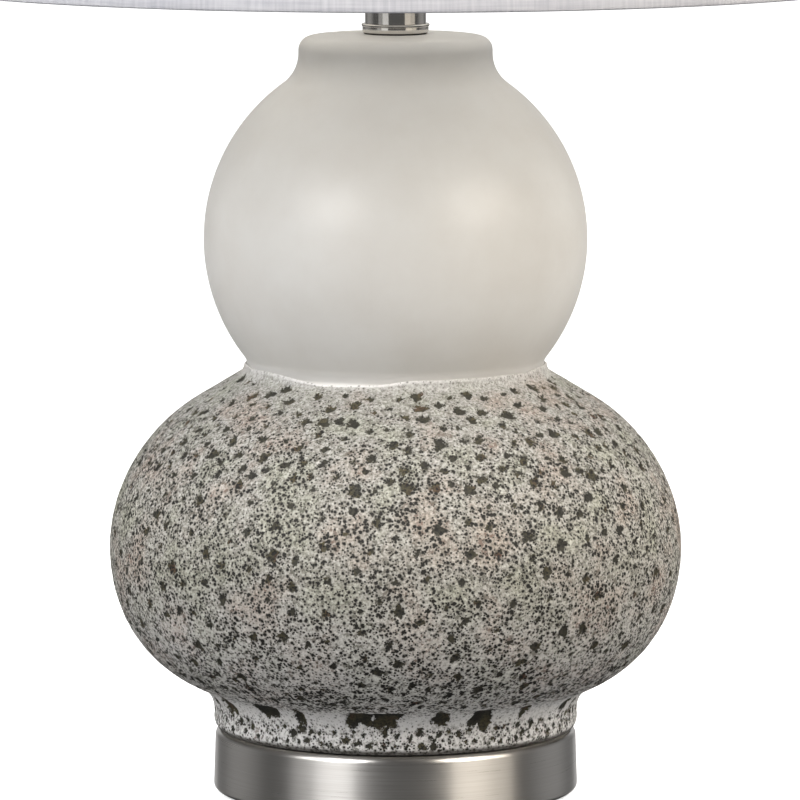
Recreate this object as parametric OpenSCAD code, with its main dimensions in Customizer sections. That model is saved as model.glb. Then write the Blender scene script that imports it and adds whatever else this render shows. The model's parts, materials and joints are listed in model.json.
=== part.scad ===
// Table lamp: a two-bulb ceramic body on a metal drum base, with a fabric drum shade.
// Millimetres, +Z up, origin on the table under the lamp's axis. +Y is the back.

/* [Base] */
// Thickness of the felt pad that the lamp stands on
felt_t = 1.2; // [0.8:0.1:3]
// How far the felt's edge stands in from the drum's lower edge
felt_inset = 5; // [3:0.5:10]
// Diameter of the drum base at its lower edge
drum_d = 164.4; // [156:0.2:176]
// How much smaller the drum's radius is at its upper edge
drum_flare = 0.7; // [0:0.1:3]
// Height of the drum base
drum_h = 27.2; // [25:0.2:45]
// Sheet thickness of the drum
drum_wall = 1.2; // [0.8:0.1:1.8]
// Radius of the drum's upper outer edge
drum_edge_r = 3; // [2:0.1:5]
// Radius of the drum's lower outer edge
drum_rim_r = 2.2; // [2:0.1:4]
// Width of the flange that is turned in under the drum
drum_flange_w = 9; // [7:0.5:16]
// Diameter of the cast weight inside the drum
weight_d = 134; // [110:1:140]
// Thickness of the cast weight
weight_t = 13; // [9:0.5:14]
// Diameter of the washer under the weight
base_washer_d = 32; // [24:0.5:44]
// Thickness of the washer under the weight
base_washer_t = 1.6; // [1:0.1:2]

/* [Cord inlet] */
// Bore of the bushing that the mains lead passes through
inlet_bore_d = 7; // [5:0.1:7.6]
// Diameter of the bushing's barrel in the drum wall
inlet_barrel_d = 9; // [8.6:0.1:9.6]
// Diameter of the bushing's outer flange
inlet_flange_d = 12; // [11:0.1:14]
// Thickness of the bushing's outer flange
inlet_flange_t = 1.6; // [1:0.1:3]
// Length of the bushing inside the drum wall
inlet_tail = 4; // [2.5:0.1:6]

/* [Centre rod] */
// Outer diameter of the threaded rod through the lamp
rod_d = 10.2; // [9.4:0.1:10.6]
// Bore of the threaded rod, for the leads
rod_bore_d = 6.4; // [5:0.1:7]
// Radial clearance of washers, caps and nuts on the rod
rod_clear = 0.1; // [0.05:0.05:0.3]
// Size of the locknuts across their flats
nut_af = 15.9; // [14:0.1:18]
// Thickness of the locknuts
nut_t = 4.5; // [3:0.1:5]
// Length of rod that shows under the lower nut
rod_tail = 2; // [0.5:0.1:2.5]

/* [Ceramic body] */
// Wall thickness of the ceramic
wall = 5; // [3.5:0.1:6]
// Thickness of the gasket under the ceramic foot
gasket_t = 0.8; // [0.5:0.1:2]
// How far the ceramic foot stands in from the drum's upper edge
foot_inset = 0.8; // [0.5:0.1:4]
// Width of the ring that the ceramic foot stands on
foot_ring_w = 10; // [8:0.5:16]
// Depth of the recess under the ceramic, inside the foot ring
foot_recess = 3; // [1:0.5:4]
// Radius of the foot's lower edge
foot_edge_r = 4.4; // [2:0.1:5]
// Radius of the hollow between the foot and the lower bulb
foot_fillet_r = 14.5; // [10:0.5:22]
// Height of the lower bulb's widest ring above the foot
lower_bulb_rise = 81.5; // [76:0.1:92]
// Diameter of the lower bulb at its widest ring
lower_bulb_d = 255; // [235:0.5:275]
// Profile radius of the lower bulb's side
lower_side_r = 73.3; // [66:0.1:80]
// Profile radius of the lower bulb above its side
lower_top_r = 80; // [74:0.1:92]
// Profile radius of the lower bulb below its side
lower_under_r = 60; // [55:0.1:66]
// Half angle of the lower bulb's side stretch
lower_side_angle = 20; // [12:1:26]
// Slope of the lower bulb's straight shoulder up to the waist
shoulder_slope = 31; // [26:1:36]
// Height between the centres of the two bulbs
bulb_pitch = 139.7; // [130:0.1:150]
// Diameter of the upper bulb
upper_bulb_d = 172.2; // [160:0.2:184]
// Profile radius of the upper bulb's underside
upper_under_r = 86; // [80:0.5:92]
// Angle below its centre at which the upper bulb's underside starts
upper_under_angle = 20; // [14:1:26]
// Radius of the hollow at the waist
waist_r = 6.2; // [4.6:0.1:10]
// Diameter of the ceramic neck
neck_d = 87; // [78:0.1:96]
// Radius of the hollow between the upper bulb and the neck
neck_fillet_r = 16.8; // [12:0.1:22]
// Height of the neck above that hollow
neck_h = 7.6; // [7:0.1:16]
// Radius of the neck's shoulder
shoulder_r = 6.1; // [5.4:0.1:6.9]
// Height of the gentle dome on top of the neck
dome_h = 1; // [0.2:0.1:3]
// Radial clearance of the rod in the ceramic's two holes
ceramic_clear = 1.4; // [0.5:0.1:3]

/* [Cratered coat] */
// Thickness of the cratered glaze coat on the lower bulb
coat_t = 1.3; // [0.6:0.1:2]
// How far below the waist's narrowest ring the coat starts
coat_drop = 0.9; // [0.3:0.1:1.6]
// Bare gap between the coat and the gasket
coat_gap = 0.3; // [0.1:0.1:1]

/* [Neck hardware] */
// Diameter of the neck tube
tube_d = 27.4; // [24:0.1:30]
// Sheet thickness of the neck tube
tube_wall = 1; // [0.6:0.1:1.6]
// Height of the neck tube
tube_h = 32; // [26:0.5:45]
// Thickness of the rubber washer under the collar
seal_t = 0.6; // [0.4:0.1:1.5]
// Height of the collar round the foot of the tube
collar_h = 4; // [3:0.1:8]
// Wall thickness of the collar
collar_wall = 1.1; // [0.8:0.1:2]
// Height of the collar's raised lip
collar_lip_h = 1.2; // [0.6:0.1:2]
// How far the collar's lip stands out
collar_lip = 0.4; // [0.2:0.1:1]
// Thickness of the cap on top of the tube
tube_cap_t = 2; // [1:0.1:3]

/* [Harp] */
// Diameter of the harp's wire
wire_d = 3.2; // [2.8:0.1:3.6]
// Height of the harp from its saddle to its flange
harp_h = 236.4; // [220:0.2:300]
// Width of the harp between the centres of its legs
harp_w = 114; // [100:1:130]
// Radius of the harp's lower bends
harp_bend_r = 40; // [30:1:48]
// Angle of the harp's lower bends
harp_bend = 35; // [30:1:40]
// Radius of the harp's long side curve
harp_side_r = 120; // [90:1:140]
// Angle of the harp's long side curve
harp_side_bend = 30; // [20:1:34]
// Half length of the straight wire in the harp's crown
harp_crown_flat = 7; // [6:0.5:10]
// Distance between the saddle's two tabs
saddle_w = 54; // [48:0.5:58]
// Sheet thickness of the saddle
saddle_t = 1.5; // [1.2:0.1:2]
// Width of the saddle's arms
saddle_arm_w = 7; // [6.4:0.1:9]
// Height of the saddle's arms above its plate
saddle_arm_h = 14; // [10:0.5:18]
// Height of the narrow tabs on the saddle's arms
tab_h = 8; // [5:0.5:9]
// Width of the narrow tabs
tab_w = 4; // [3:0.1:4.4]
// Outer diameter of the sleeves that lock the harp
sleeve_d = 7.4; // [6.8:0.1:8.4]
// Length of a sleeve
sleeve_h = 14; // [13:0.5:18]
// Diameter of the flange that the shade rests on
stud_flange_d = 18; // [15:0.5:24]
// Thickness of the flange that the shade rests on
stud_flange_t = 1.6; // [1:0.1:3]
// Outer diameter of the stud's thread
stud_d = 6.3; // [5.6:0.1:6.6]
// Height of the stud above its flange
stud_h = 14; // [12:0.5:20]

/* [Shade] */
// Diameter of the shade at its lower rim
shade_bottom_d = 457; // [400:1:500]
// Diameter of the shade at its upper rim
shade_top_d = 432; // [380:1:480]
// Height of the shade
shade_h = 267; // [230:1:300]
// Thickness of the shade's linen
linen_t = 0.6; // [0.4:0.1:1.2]
// Thickness of the stiff liner behind the linen
liner_t = 0.8; // [0.4:0.1:1.2]
// Diameter of the shade's rim wires
rim_wire_d = 3; // [2:0.1:4]
// Height of the hem tape at each rim, outside
hem_h = 9; // [6:0.5:16]
// Height of the hem tape at each rim, inside
hem_inner_h = 7; // [5:0.5:14]
// Thickness of the hem tape
hem_t = 0.4; // [0.3:0.1:0.8]
// Diameter of the fitter's hub washer
hub_d = 26; // [24:0.5:34]
// Diameter of the hub washer's hole
hub_hole_d = 11; // [8:0.1:12]
// Thickness of the hub washer
hub_t = 1.6; // [1.2:0.1:2.5]
// Diameter of the fitter's arms
arm_d = 3; // [2.4:0.1:4]
// Depth of the hub below the shade's upper rim
fitter_drop = 13; // [8:0.5:25]
// Number of arms on the fitter
arms = 3; // [3, 4]

/* [Finial] */
// Diameter of the slip washer under the finial
slip_washer_d = 15; // [13:0.5:20]
// Thickness of the slip washer
slip_washer_t = 1; // [0.6:0.1:2]
// Diameter of the finial's foot
finial_foot_d = 12; // [10:0.5:16]
// Height of the finial's foot
finial_foot_h = 2.4; // [1.5:0.1:5]
// Diameter of the finial's waist
finial_waist_d = 9.4; // [8.8:0.1:10]
// Height of the finial's waist
finial_waist_h = 3; // [2:0.1:6]
// Diameter of the finial's ball
finial_ball_d = 19; // [17:0.5:26]
// Radial clearance of the stud in the finial
thread_clear = 0.08; // [0.05:0.01:0.1]

/* [Socket] */
// Outer diameter of the socket's shell
socket_d = 33; // [32.2:0.1:36]
// Sheet thickness of the socket's metal
socket_wall = 0.6; // [0.4:0.1:0.8]
// Thickness of the insulating liner
insulator_t = 0.5; // [0.3:0.1:0.6]
// Height of the socket's cap
cap_h = 18; // [16:0.5:24]
// Height of the cap's hub round the rod
cap_hub_h = 6; // [4.5:0.1:7]
// Diameter of the cap's hub
cap_hub_d = 15.6; // [14:0.1:18]
// Length of the socket's shell above the cap
shell_h = 38; // [37:0.5:46]
// Height of the moulded core that holds the switch
core_h = 14; // [12:0.5:18]
// Height of the screw shell
screw_h = 22; // [18:0.5:23]
// Inner diameter of the screw shell at its ridges
screw_d = 26.8; // [26.6:0.1:27]
// Thread pitch of the lamp bulb
screw_pitch = 3.63; // [3.4:0.01:3.8]
// Depth of the thread's ridges
screw_ridge = 0.45; // [0.2:0.05:0.5]
// Diameter of the set screw that locks the cap on the rod
set_screw_d = 3; // [2:0.1:4]
// Diameter of the terminal screws
terminal_d = 3.5; // [2.5:0.1:4]

/* [Switch] */
// Diameter of the switch shaft
shaft_d = 3.2; // [2.4:0.1:4]
// Radial clearance of the shaft in the core
shaft_clear = 0.05; // [0.02:0.01:0.1]
// Depth of the shaft in the core
shaft_depth = 8; // [5:0.5:10]
// Diameter of the knob
knob_d = 13; // [10:0.5:18]
// Thickness of the knob's thumb grip
knob_grip_t = 5; // [4.6:0.1:8]
// Length of the knob
knob_l = 14; // [10:0.5:20]
// Gap between the socket's shell and the knob
knob_gap = 1.5; // [0.8:0.1:4]

/* [Bulb] */
// Diameter of the bulb's globe
globe_d = 60; // [50:0.5:62]
// Wall thickness of the globe
globe_wall = 1.2; // [0.8:0.1:2]
// Diameter of the bulb's screw base over its ridges
cap_thread_d = 26.1; // [25.8:0.1:26.1]
// Height of the bulb's screw base
cap_thread_h = 22; // [18:0.5:24]
// Height of the housing between the screw base and the globe
housing_h = 32; // [24:0.5:40]
// Diameter of the housing where it meets the globe
housing_d = 52; // [42:0.5:56]

/* [Hidden] */
$fn = 96;

// Degrees in one step of a drawn arc
arc_step = 3;
// Gap kept between metal parts that only rest against each other
seat_gap = 0.05;

// Base heights and radii
drum_z = felt_t;
drum_top = drum_z + drum_h;
drum_r = drum_d / 2;
drum_top_r = drum_r - drum_flare;
rod_hole_r = rod_d / 2 + rod_clear;
weight_top = drum_top - drum_wall;
weight_z = weight_top - weight_t;
base_washer_z = weight_z - base_washer_t;
base_nut_z = base_washer_z - nut_t;
rod_z = base_nut_z - rod_tail;
inlet_z = drum_z + drum_rim_r + inlet_flange_d / 2 + 0.4;
inlet_y = drum_wall_r(inlet_z - inlet_flange_d / 2);

// Ceramic body: centres of the arcs of its profile
foot_z = drum_top + gasket_t;
foot_r = drum_top_r - foot_inset;
lower_z = foot_z + lower_bulb_rise;
upper_z = lower_z + bulb_pitch;
upper_r = upper_bulb_d / 2;
neck_r = neck_d / 2;
side_c = [lower_bulb_d / 2 - lower_side_r, lower_z];
top_c = side_c + (lower_side_r - lower_top_r) * heading(lower_side_angle);
under_c = side_c + (lower_side_r - lower_under_r) * heading(-lower_side_angle);
upper_c = [0, upper_z];
upper_under_c = upper_c + (upper_r - upper_under_r) * heading(-upper_under_angle);
waist_c = slope_centre(top_c, lower_top_r + waist_r, upper_under_c, upper_under_r + waist_r);
neck_c = [neck_r + neck_fillet_r,
    upper_z + sqrt(pow(upper_r + neck_fillet_r, 2) - pow(neck_r + neck_fillet_r, 2))];
foot_c = [foot_r + foot_fillet_r,
    under_c.y - sqrt(pow(lower_under_r + foot_fillet_r, 2)
        - pow(foot_r + foot_fillet_r - under_c.x, 2))];
shoulder_z = neck_c.y + neck_h;
body_top = shoulder_z + dome_h;
floor_z = foot_z + foot_recess + wall;
ceramic_hole_r = rod_d / 2 + ceramic_clear;

// Stack of metal parts above the ceramic
tube_r = tube_d / 2;
collar_z = body_top + seal_t;
collar_r = tube_r + seat_gap + collar_wall;
tube_z = collar_z + collar_wall;
tube_top = tube_z + tube_h;
neck_nut_z = tube_top + tube_cap_t;
saddle_z = neck_nut_z + nut_t;
socket_z = saddle_z + saddle_t;
rod_top = socket_z + cap_hub_h + 3;

// Harp: heights above the saddle, and the lengths of its straight stretches
tab_x = saddle_w / 2;
wire_r = wire_d / 2;
arm_top = socket_z + saddle_arm_h;
leg_z = arm_top + tab_h;
hub_clip_r = wire_r + 1;
flange_z = socket_z + harp_h;
crown_z = flange_z - stud_flange_t - hub_clip_r;
sleeve_travel = 12;
leg_h = sleeve_h + sleeve_travel - tab_h + 2;
lower_shift = harp_w / 2 - tab_x - 2 * harp_bend_r * (1 - cos(harp_bend));
lower_slant = lower_shift / sin(harp_bend);
crown_r = (harp_w / 2 - harp_crown_flat - harp_side_r * (1 - cos(harp_side_bend)))
    / cos(harp_side_bend);
bends_h = 2 * harp_bend_r * sin(harp_bend) + lower_slant * cos(harp_bend)
    + harp_side_r * sin(harp_side_bend) + crown_r * (1 - sin(harp_side_bend));
side_h = crown_z - leg_z - leg_h - bends_h;
wire_sides = 14;
leg_end = [tab_x, leg_z + leg_h];
slant_end = leg_end + [harp_bend_r, 0] + harp_bend_r * heading(180 - harp_bend)
    + lower_slant * heading(90 - harp_bend);
upper_bend_c = slant_end + harp_bend_r * heading(180 - harp_bend);
side_bend_c = upper_bend_c + [harp_bend_r - harp_side_r, side_h];
crown_c = side_bend_c + (harp_side_r - crown_r) * heading(harp_side_bend);
leg_path = concat(
    [[tab_x, leg_z, 90]],
    wire_bend(leg_end + [harp_bend_r, 0], harp_bend_r, 180, 180 - harp_bend, -90),
    wire_bend(upper_bend_c, harp_bend_r, -harp_bend, 0, 90),
    wire_bend(side_bend_c, harp_side_r, 0, harp_side_bend, 90),
    [for (p = wire_bend(crown_c, crown_r, harp_side_bend, 90, 90)) if (p[2] > 91 + harp_side_bend) p]);

// Shade
hub_z = flange_z;
shade_top = hub_z + hub_t + fitter_drop;
shade_z = shade_top - shade_h;
rim_wire_r = rim_wire_d / 2;
skin_t = linen_t + liner_t;

// Finial
slip_washer_z = hub_z + hub_t;
finial_z = slip_washer_z + slip_washer_t;
finial_ball_r = finial_ball_d / 2;
finial_bore_r = stud_d / 2 + thread_clear;
finial_bore_h = flange_z + stud_h - finial_z + 0.5;

// Socket and switch
socket_r = socket_d / 2;
shell_r = socket_r - socket_wall - seat_gap;
shell_top = socket_z + cap_h + shell_h;
insulator_r = shell_r - socket_wall - seat_gap;
core_r = insulator_r - insulator_t - seat_gap;
core_z = socket_z + cap_h;
core_top = core_z + core_h;
set_screw_z = socket_z + cap_hub_h / 2;
contact_h = 2.4;
switch_z = core_z + core_h / 2;
knob_y = socket_r + knob_gap;

// Bulb, screwed home against the centre contact
button_h = 1.3;
bulb_z = core_top + contact_h + seat_gap;
bulb_insulator_h = 2.6;
bulb_base_z = bulb_z + button_h + bulb_insulator_h;
housing_z = bulb_base_z + cap_thread_h;
globe_r = globe_d / 2;
globe_cut = sqrt(pow(globe_r, 2) - pow(housing_d / 2, 2));
globe_z = housing_z + housing_h + globe_cut;
ridge_wall = 0.4;

// Unit vector at an angle
function heading(a) = [cos(a), sin(a)];
// Direction from one point to another
function bearing(from, to) = atan2(to.y - from.y, to.x - from.x);
// The same direction, counted from 0 to 360
function bearing_up(from, to) = bearing(from, to) < 0 ? bearing(from, to) + 360 : bearing(from, to);
// Points along an arc
function arc(c, r, a0, a1) =
    let (n = max(2, ceil(abs(a1 - a0) / arc_step)))
    [for (i = [0 : n]) c + r * heading(a0 + (a1 - a0) * i / n)];
// Points [x, z, heading] of the wire round a bend, turned from the radius by a quarter
function wire_bend(c, r, a0, a1, quarter) =
    let (n = ceil(abs(a1 - a0) / 5))
    [for (i = [0 : n]) let (a = a0 + (a1 - a0) * i / n) [c.x + r * cos(a), c.y + r * sin(a), a + quarter]];
// The point at distance rb from b, on the line that slopes up past a at distance ra
function slope_centre(a, ra, b, rb) =
    let (n = heading(90 - shoulder_slope), up = [-n.y, n.x], from_b = a + ra * n - b, s = from_b * up)
    b + from_b - (s + sqrt(s * s + rb * rb - from_b * from_b)) * up;
// Angle at which the waist's hollow, moved out by t, meets the seam between the two bulbs
function seam_angle(t) = 180 + asin(coat_drop / (waist_r - t));
// Points of a list from last to first
function reversed(pts) = [for (i = [len(pts) - 1 : -1 : 0]) pts[i]];
// Outer radius of the drum's wall at a height
function drum_wall_r(z) = drum_r - drum_flare * (z - drum_z) / drum_h;
// Radius of the shade's outer face at a height
function shade_r(z) = (shade_bottom_d + (shade_top_d - shade_bottom_d) * (z - shade_z) / shade_h) / 2;

// Profile from the foot to the seam at the waist, moved out by t
function lower_profile(t, start) = concat(
    arc([foot_r - foot_edge_r, foot_z + foot_edge_r], foot_edge_r + t, start, 0),
    arc(foot_c, foot_fillet_r - t, 180, bearing(foot_c, under_c)),
    arc(under_c, lower_under_r + t, bearing(under_c, foot_c), -lower_side_angle),
    arc(side_c, lower_side_r + t, -lower_side_angle, lower_side_angle),
    arc(top_c, lower_top_r + t, lower_side_angle, 90 - shoulder_slope),
    arc(waist_c, waist_r - t, 270 - shoulder_slope, seam_angle(t)));
// Profile from the seam at the waist to the neck's shoulder, moved out by t
function upper_profile(t) = concat(
    arc(waist_c, waist_r - t, seam_angle(t), bearing(waist_c, upper_under_c)),
    arc(upper_under_c, upper_under_r + t, bearing(upper_under_c, waist_c), -upper_under_angle),
    arc(upper_c, upper_r + t, -upper_under_angle, bearing(upper_c, neck_c)),
    arc(neck_c, neck_fillet_r - t, bearing_up(neck_c, upper_c), 180),
    arc([neck_r - shoulder_r, shoulder_z - shoulder_r], shoulder_r + t, 0, 90));
// Profile of the hollow inside the lower bulb
function lower_cavity() =
    let (r = foot_fillet_r + wall, a = 180 - asin(max(0, floor_z - foot_c.y) / r))
    concat(
        [[foot_c.x + r * cos(a), floor_z]],
        arc(foot_c, r, a, bearing(foot_c, under_c)),
        arc(under_c, lower_under_r - wall, bearing(under_c, foot_c), -lower_side_angle),
        arc(side_c, lower_side_r - wall, -lower_side_angle, lower_side_angle),
        arc(top_c, lower_top_r - wall, lower_side_angle, 90 - shoulder_slope),
        arc(waist_c, waist_r + wall, 270 - shoulder_slope, seam_angle(-wall)));
// Gentle rise from the neck's shoulder to the collar's seat
function dome_profile() = [for (i = [1 : 5]) let (f = i / 5)
    [neck_r - shoulder_r + (collar_r + 1 - neck_r + shoulder_r) * f,
     shoulder_z + dome_h * (1 - pow(1 - f, 2))]];

module lathe(points) {
    rotate_extrude() polygon(points);
}

module ring(outer_r, inner_r, z, h) {
    translate([0, 0, z]) difference() {
        cylinder(r = outer_r, h = h);
        translate([0, 0, -1]) cylinder(r = inner_r, h = h + 2);
    }
}

module locknut(z) {
    chamfer = 0.6;
    corner_r = nut_af / 2 / cos(30);
    translate([0, 0, z]) difference() {
        intersection() {
            cylinder(r = corner_r, h = nut_t, $fn = 6);
            lathe([[0, 0], [corner_r - chamfer, 0], [corner_r + chamfer, 2 * chamfer],
                [corner_r + chamfer, nut_t - 2 * chamfer], [corner_r - chamfer, nut_t], [0, nut_t]]);
        }
        translate([0, 0, -1]) cylinder(r = rod_hole_r, h = nut_t + 2);
    }
}

// A piece that points towards the front, drawn along +Z
module towards_front(y, z) {
    translate([0, -y, z]) rotate([90, 0, 0]) children();
}

module base_felt() {
    color("DarkOliveGreen") cylinder(r = drum_r - felt_inset, h = felt_t);
}

module base_drum() {
    rim_in = drum_r - drum_rim_r;
    edge_in = drum_top_r - drum_edge_r;
    color("Silver") difference() {
        lathe(concat(
            [[drum_r - drum_flange_w, drum_z]],
            arc([rim_in, drum_z + drum_rim_r], drum_rim_r, -90, 0),
            arc([edge_in, drum_top - drum_edge_r], drum_edge_r, 0, 90),
            [[rod_hole_r, drum_top], [rod_hole_r, weight_top]],
            arc([edge_in, drum_top - drum_edge_r], drum_edge_r - drum_wall, 90, 0),
            arc([rim_in, drum_z + drum_rim_r], drum_rim_r - drum_wall, 0, -90),
            [[drum_r - drum_flange_w, drum_z + drum_wall]]));
        translate([0, drum_r + 5, inlet_z]) rotate([90, 0, 0])
            cylinder(d = inlet_barrel_d + 2 * seat_gap, h = 12);
    }
}

module base_weight() {
    chamfer = 1.5;
    r = weight_d / 2;
    color("DimGray") lathe([
        [rod_hole_r + chamfer, weight_z], [r - chamfer, weight_z], [r, weight_z + chamfer],
        [r, weight_top - chamfer], [r - chamfer, weight_top], [rod_hole_r, weight_top],
        [rod_hole_r, weight_z + chamfer]]);
}

module base_washer() {
    color("LightSteelBlue") ring(base_washer_d / 2, rod_hole_r, base_washer_z, base_washer_t);
}

module base_nut() {
    color("LightSteelBlue") locknut(base_nut_z);
}

module cord_bushing() {
    snap = 0.5;
    wall_y = inlet_y - drum_wall - 0.4;
    tail_y = wall_y - inlet_tail;
    bore_r = inlet_bore_d / 2;
    barrel_r = inlet_barrel_d / 2;
    flange_r = inlet_flange_d / 2;
    color("Black") translate([0, 0, inlet_z]) rotate([-90, 0, 0]) lathe([
        [bore_r, tail_y], [barrel_r - snap, tail_y], [barrel_r + snap, wall_y - 0.4],
        [barrel_r + snap, wall_y], [barrel_r, wall_y], [barrel_r, inlet_y],
        [flange_r, inlet_y], [flange_r, inlet_y + inlet_flange_t / 2],
        [flange_r - inlet_flange_t / 2, inlet_y + inlet_flange_t], [bore_r, inlet_y + inlet_flange_t]]);
}

module centre_rod() {
    color("LightSteelBlue") ring(rod_d / 2, rod_bore_d / 2, rod_z, rod_top - rod_z);
}

module foot_gasket() {
    color("DimGray") ring(foot_r - foot_edge_r, foot_r - foot_ring_w, drum_top, gasket_t);
}

module ceramic_lower() {
    color("Gainsboro") lathe(concat(
        lower_profile(0, -90), reversed(lower_cavity()),
        [[ceramic_hole_r, floor_z], [ceramic_hole_r, foot_z + foot_recess],
         [foot_r - foot_ring_w - 1, foot_z + foot_recess], [foot_r - foot_ring_w, foot_z]]));
}

module ceramic_upper() {
    color("WhiteSmoke") lathe(concat(
        upper_profile(0), dome_profile(),
        [[ceramic_hole_r, body_top], [ceramic_hole_r, shoulder_z - wall]],
        reversed(upper_profile(-wall))));
}

module cratered_coat() {
    start = -asin((foot_edge_r - coat_gap) / (foot_edge_r + coat_t));
    color("DarkGray") lathe(concat(
        lower_profile(coat_t, start), reversed(lower_profile(0, start))));
}

module collar_seal() {
    color("Black") ring(collar_r - 0.6, rod_hole_r, body_top, seal_t);
}

module neck_collar() {
    lip_r = collar_r + collar_lip;
    top = collar_z + collar_h;
    bore_r = tube_r + seat_gap;
    color("Silver") lathe([
        [rod_hole_r, collar_z], [collar_r - 0.5, collar_z], [collar_r, collar_z + 0.5],
        [collar_r, top - collar_lip_h], [lip_r, top - collar_lip_h + collar_lip / 2],
        [lip_r, top - 0.3], [lip_r - 0.3, top], [bore_r, top], [bore_r, tube_z],
        [rod_hole_r, tube_z]]);
}

module neck_tube() {
    color("Silver") ring(tube_r, tube_r - tube_wall, tube_z, tube_h);
}

module tube_cap() {
    spigot_r = tube_r - tube_wall - seat_gap;
    color("Silver") lathe([
        [rod_hole_r, tube_top - 2], [spigot_r, tube_top - 2], [spigot_r, tube_top],
        [tube_r, tube_top], [tube_r, neck_nut_z - 0.6], [tube_r - 0.6, neck_nut_z],
        [rod_hole_r, neck_nut_z]]);
}

module neck_nut() {
    color("LightSteelBlue") locknut(neck_nut_z);
}

module harp_saddle() {
    plate_r = cap_hub_d / 2 + 1.5;
    inner_x = tab_x - saddle_t / 2;
    tab_t = saddle_t - 0.3;
    bend_x = plate_r - 2;
    rise_z = arm_top - 5;
    color("Silver") {
        ring(plate_r, rod_hole_r, saddle_z, saddle_t);
        for (side = [0, 180]) rotate([0, 0, side]) {
            translate([0, saddle_arm_w / 2, 0]) rotate([90, 0, 0])
                linear_extrude(saddle_arm_w) polygon([
                    [bend_x, saddle_z], [bend_x + 4, saddle_z], [inner_x + saddle_t, rise_z - 0.6],
                    [inner_x + saddle_t, arm_top], [inner_x, arm_top], [inner_x, rise_z],
                    [bend_x + 3.4, socket_z], [bend_x, socket_z]]);
            translate([tab_x - tab_t / 2, -tab_w / 2, arm_top]) cube([tab_t, tab_w, tab_h]);
        }
    }
}

module socket_cap() {
    hub_r = cap_hub_d / 2;
    bend_z = socket_z + cap_hub_h;
    cup_z = bend_z + 6;
    top = socket_z + cap_h;
    color("Silver") difference() {
        lathe([
            [rod_hole_r, socket_z], [hub_r - 0.6, socket_z], [hub_r, socket_z + 0.6],
            [hub_r, bend_z], [hub_r + 3, bend_z + 1.2], [socket_r - 1.4, cup_z - 1.6],
            [socket_r, cup_z + 1], [socket_r, top], [socket_r - socket_wall, top],
            [socket_r - socket_wall, cup_z + 1.2], [socket_r - 1.4 - socket_wall, cup_z - 0.9],
            [hub_r + 2.4, bend_z + 1.9], [rod_hole_r, bend_z + 1]]);
        towards_front(0, set_screw_z) cylinder(d = set_screw_d + 2 * seat_gap, h = cap_hub_d);
    }
}

module cap_set_screw() {
    start = rod_d / 2 + seat_gap;
    length = cap_hub_d / 2 + 1.2 - start;
    color("LightSteelBlue") towards_front(start, set_screw_z) difference() {
        cylinder(d = set_screw_d, h = length);
        translate([-set_screw_d, -0.35, length - 1]) cube([2 * set_screw_d, 0.7, 2]);
    }
}

module socket_shell() {
    overlap = 3;
    bottom = socket_z + cap_h - overlap;
    bead = 0.5;
    color("Silver") difference() {
        lathe([
            [shell_r - socket_wall, bottom], [shell_r, bottom], [shell_r, socket_z + cap_h + 0.4],
            [shell_r + bead, socket_z + cap_h + 0.9], [shell_r + bead, socket_z + cap_h + 1.5],
            [shell_r, socket_z + cap_h + 2], [shell_r, shell_top - 1.6],
            [shell_r + bead, shell_top - 1], [shell_r + bead, shell_top - 0.4],
            [shell_r, shell_top], [shell_r - socket_wall, shell_top]]);
        towards_front(core_r, switch_z) cylinder(d = shaft_d + 2, h = 8);
    }
}

module socket_insulator() {
    color("Tan") difference() {
        ring(insulator_r, insulator_r - insulator_t, socket_z + cap_h - 2.5, shell_h + 3.5);
        towards_front(core_r - 1, switch_z) cylinder(d = shaft_d + 2, h = 8);
    }
}

module socket_core() {
    color("Black") difference() {
        lathe([
            [rod_bore_d / 2, core_z], [core_r - 3, core_z - 4], [core_r, core_z], [core_r, core_top - 1],
            [core_r - 1, core_top], [0, core_top], [0, core_top - 3], [rod_bore_d / 2, core_top - 3]]);
        towards_front(core_r - shaft_depth, switch_z)
            cylinder(d = shaft_d + 2 * shaft_clear, h = shaft_depth + 1);
        for (side = [0, 180]) rotate([0, 0, side]) translate([core_r - 4, 0, switch_z])
            rotate([0, 90, 0]) cylinder(d = terminal_d + 2 * seat_gap, h = 6);
    }
}

module terminal_screws() {
    color("Goldenrod") for (side = [0, 180]) rotate([0, 0, side])
        translate([core_r - 4 + seat_gap, 0, switch_z]) rotate([0, 90, 0]) difference() {
            cylinder(d = terminal_d, h = 3.5);
            translate([-terminal_d, -0.4, 2.6]) cube([2 * terminal_d, 0.8, 2]);
        }
}

// Ridges of a screw shell, as a zigzag between two radii
function ridges(r, z, h) =
    let (n = floor((h - 3) / screw_pitch))
    [for (i = [0 : n - 1], k = [0, 1, 2, 3])
        [r + (k == 1 || k == 2 ? screw_ridge : 0), z + 1.5 + (i + [0, 0.25, 0.5, 0.75][k]) * screw_pitch]];

module screw_shell() {
    r = screw_d / 2;
    color("Gold") lathe(concat(
        [[r, core_top]], ridges(r, core_top, screw_h), [[r, core_top + screw_h]],
        [[r + ridge_wall, core_top + screw_h]],
        reversed(ridges(r + ridge_wall, core_top, screw_h)), [[r + ridge_wall, core_top]]));
}

module centre_contact() {
    color("Gold") lathe([
        [0, core_top], [5, core_top], [5, core_top + 0.8], [3.2, core_top + 1.2],
        [2.4, core_top + contact_h], [0, core_top + contact_h]]);
}

module switch_shaft() {
    color("Goldenrod") towards_front(core_r - shaft_depth + 0.5, switch_z)
        cylinder(d = shaft_d, h = knob_y + knob_l - 3 - core_r + shaft_depth - 0.5);
}

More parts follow.
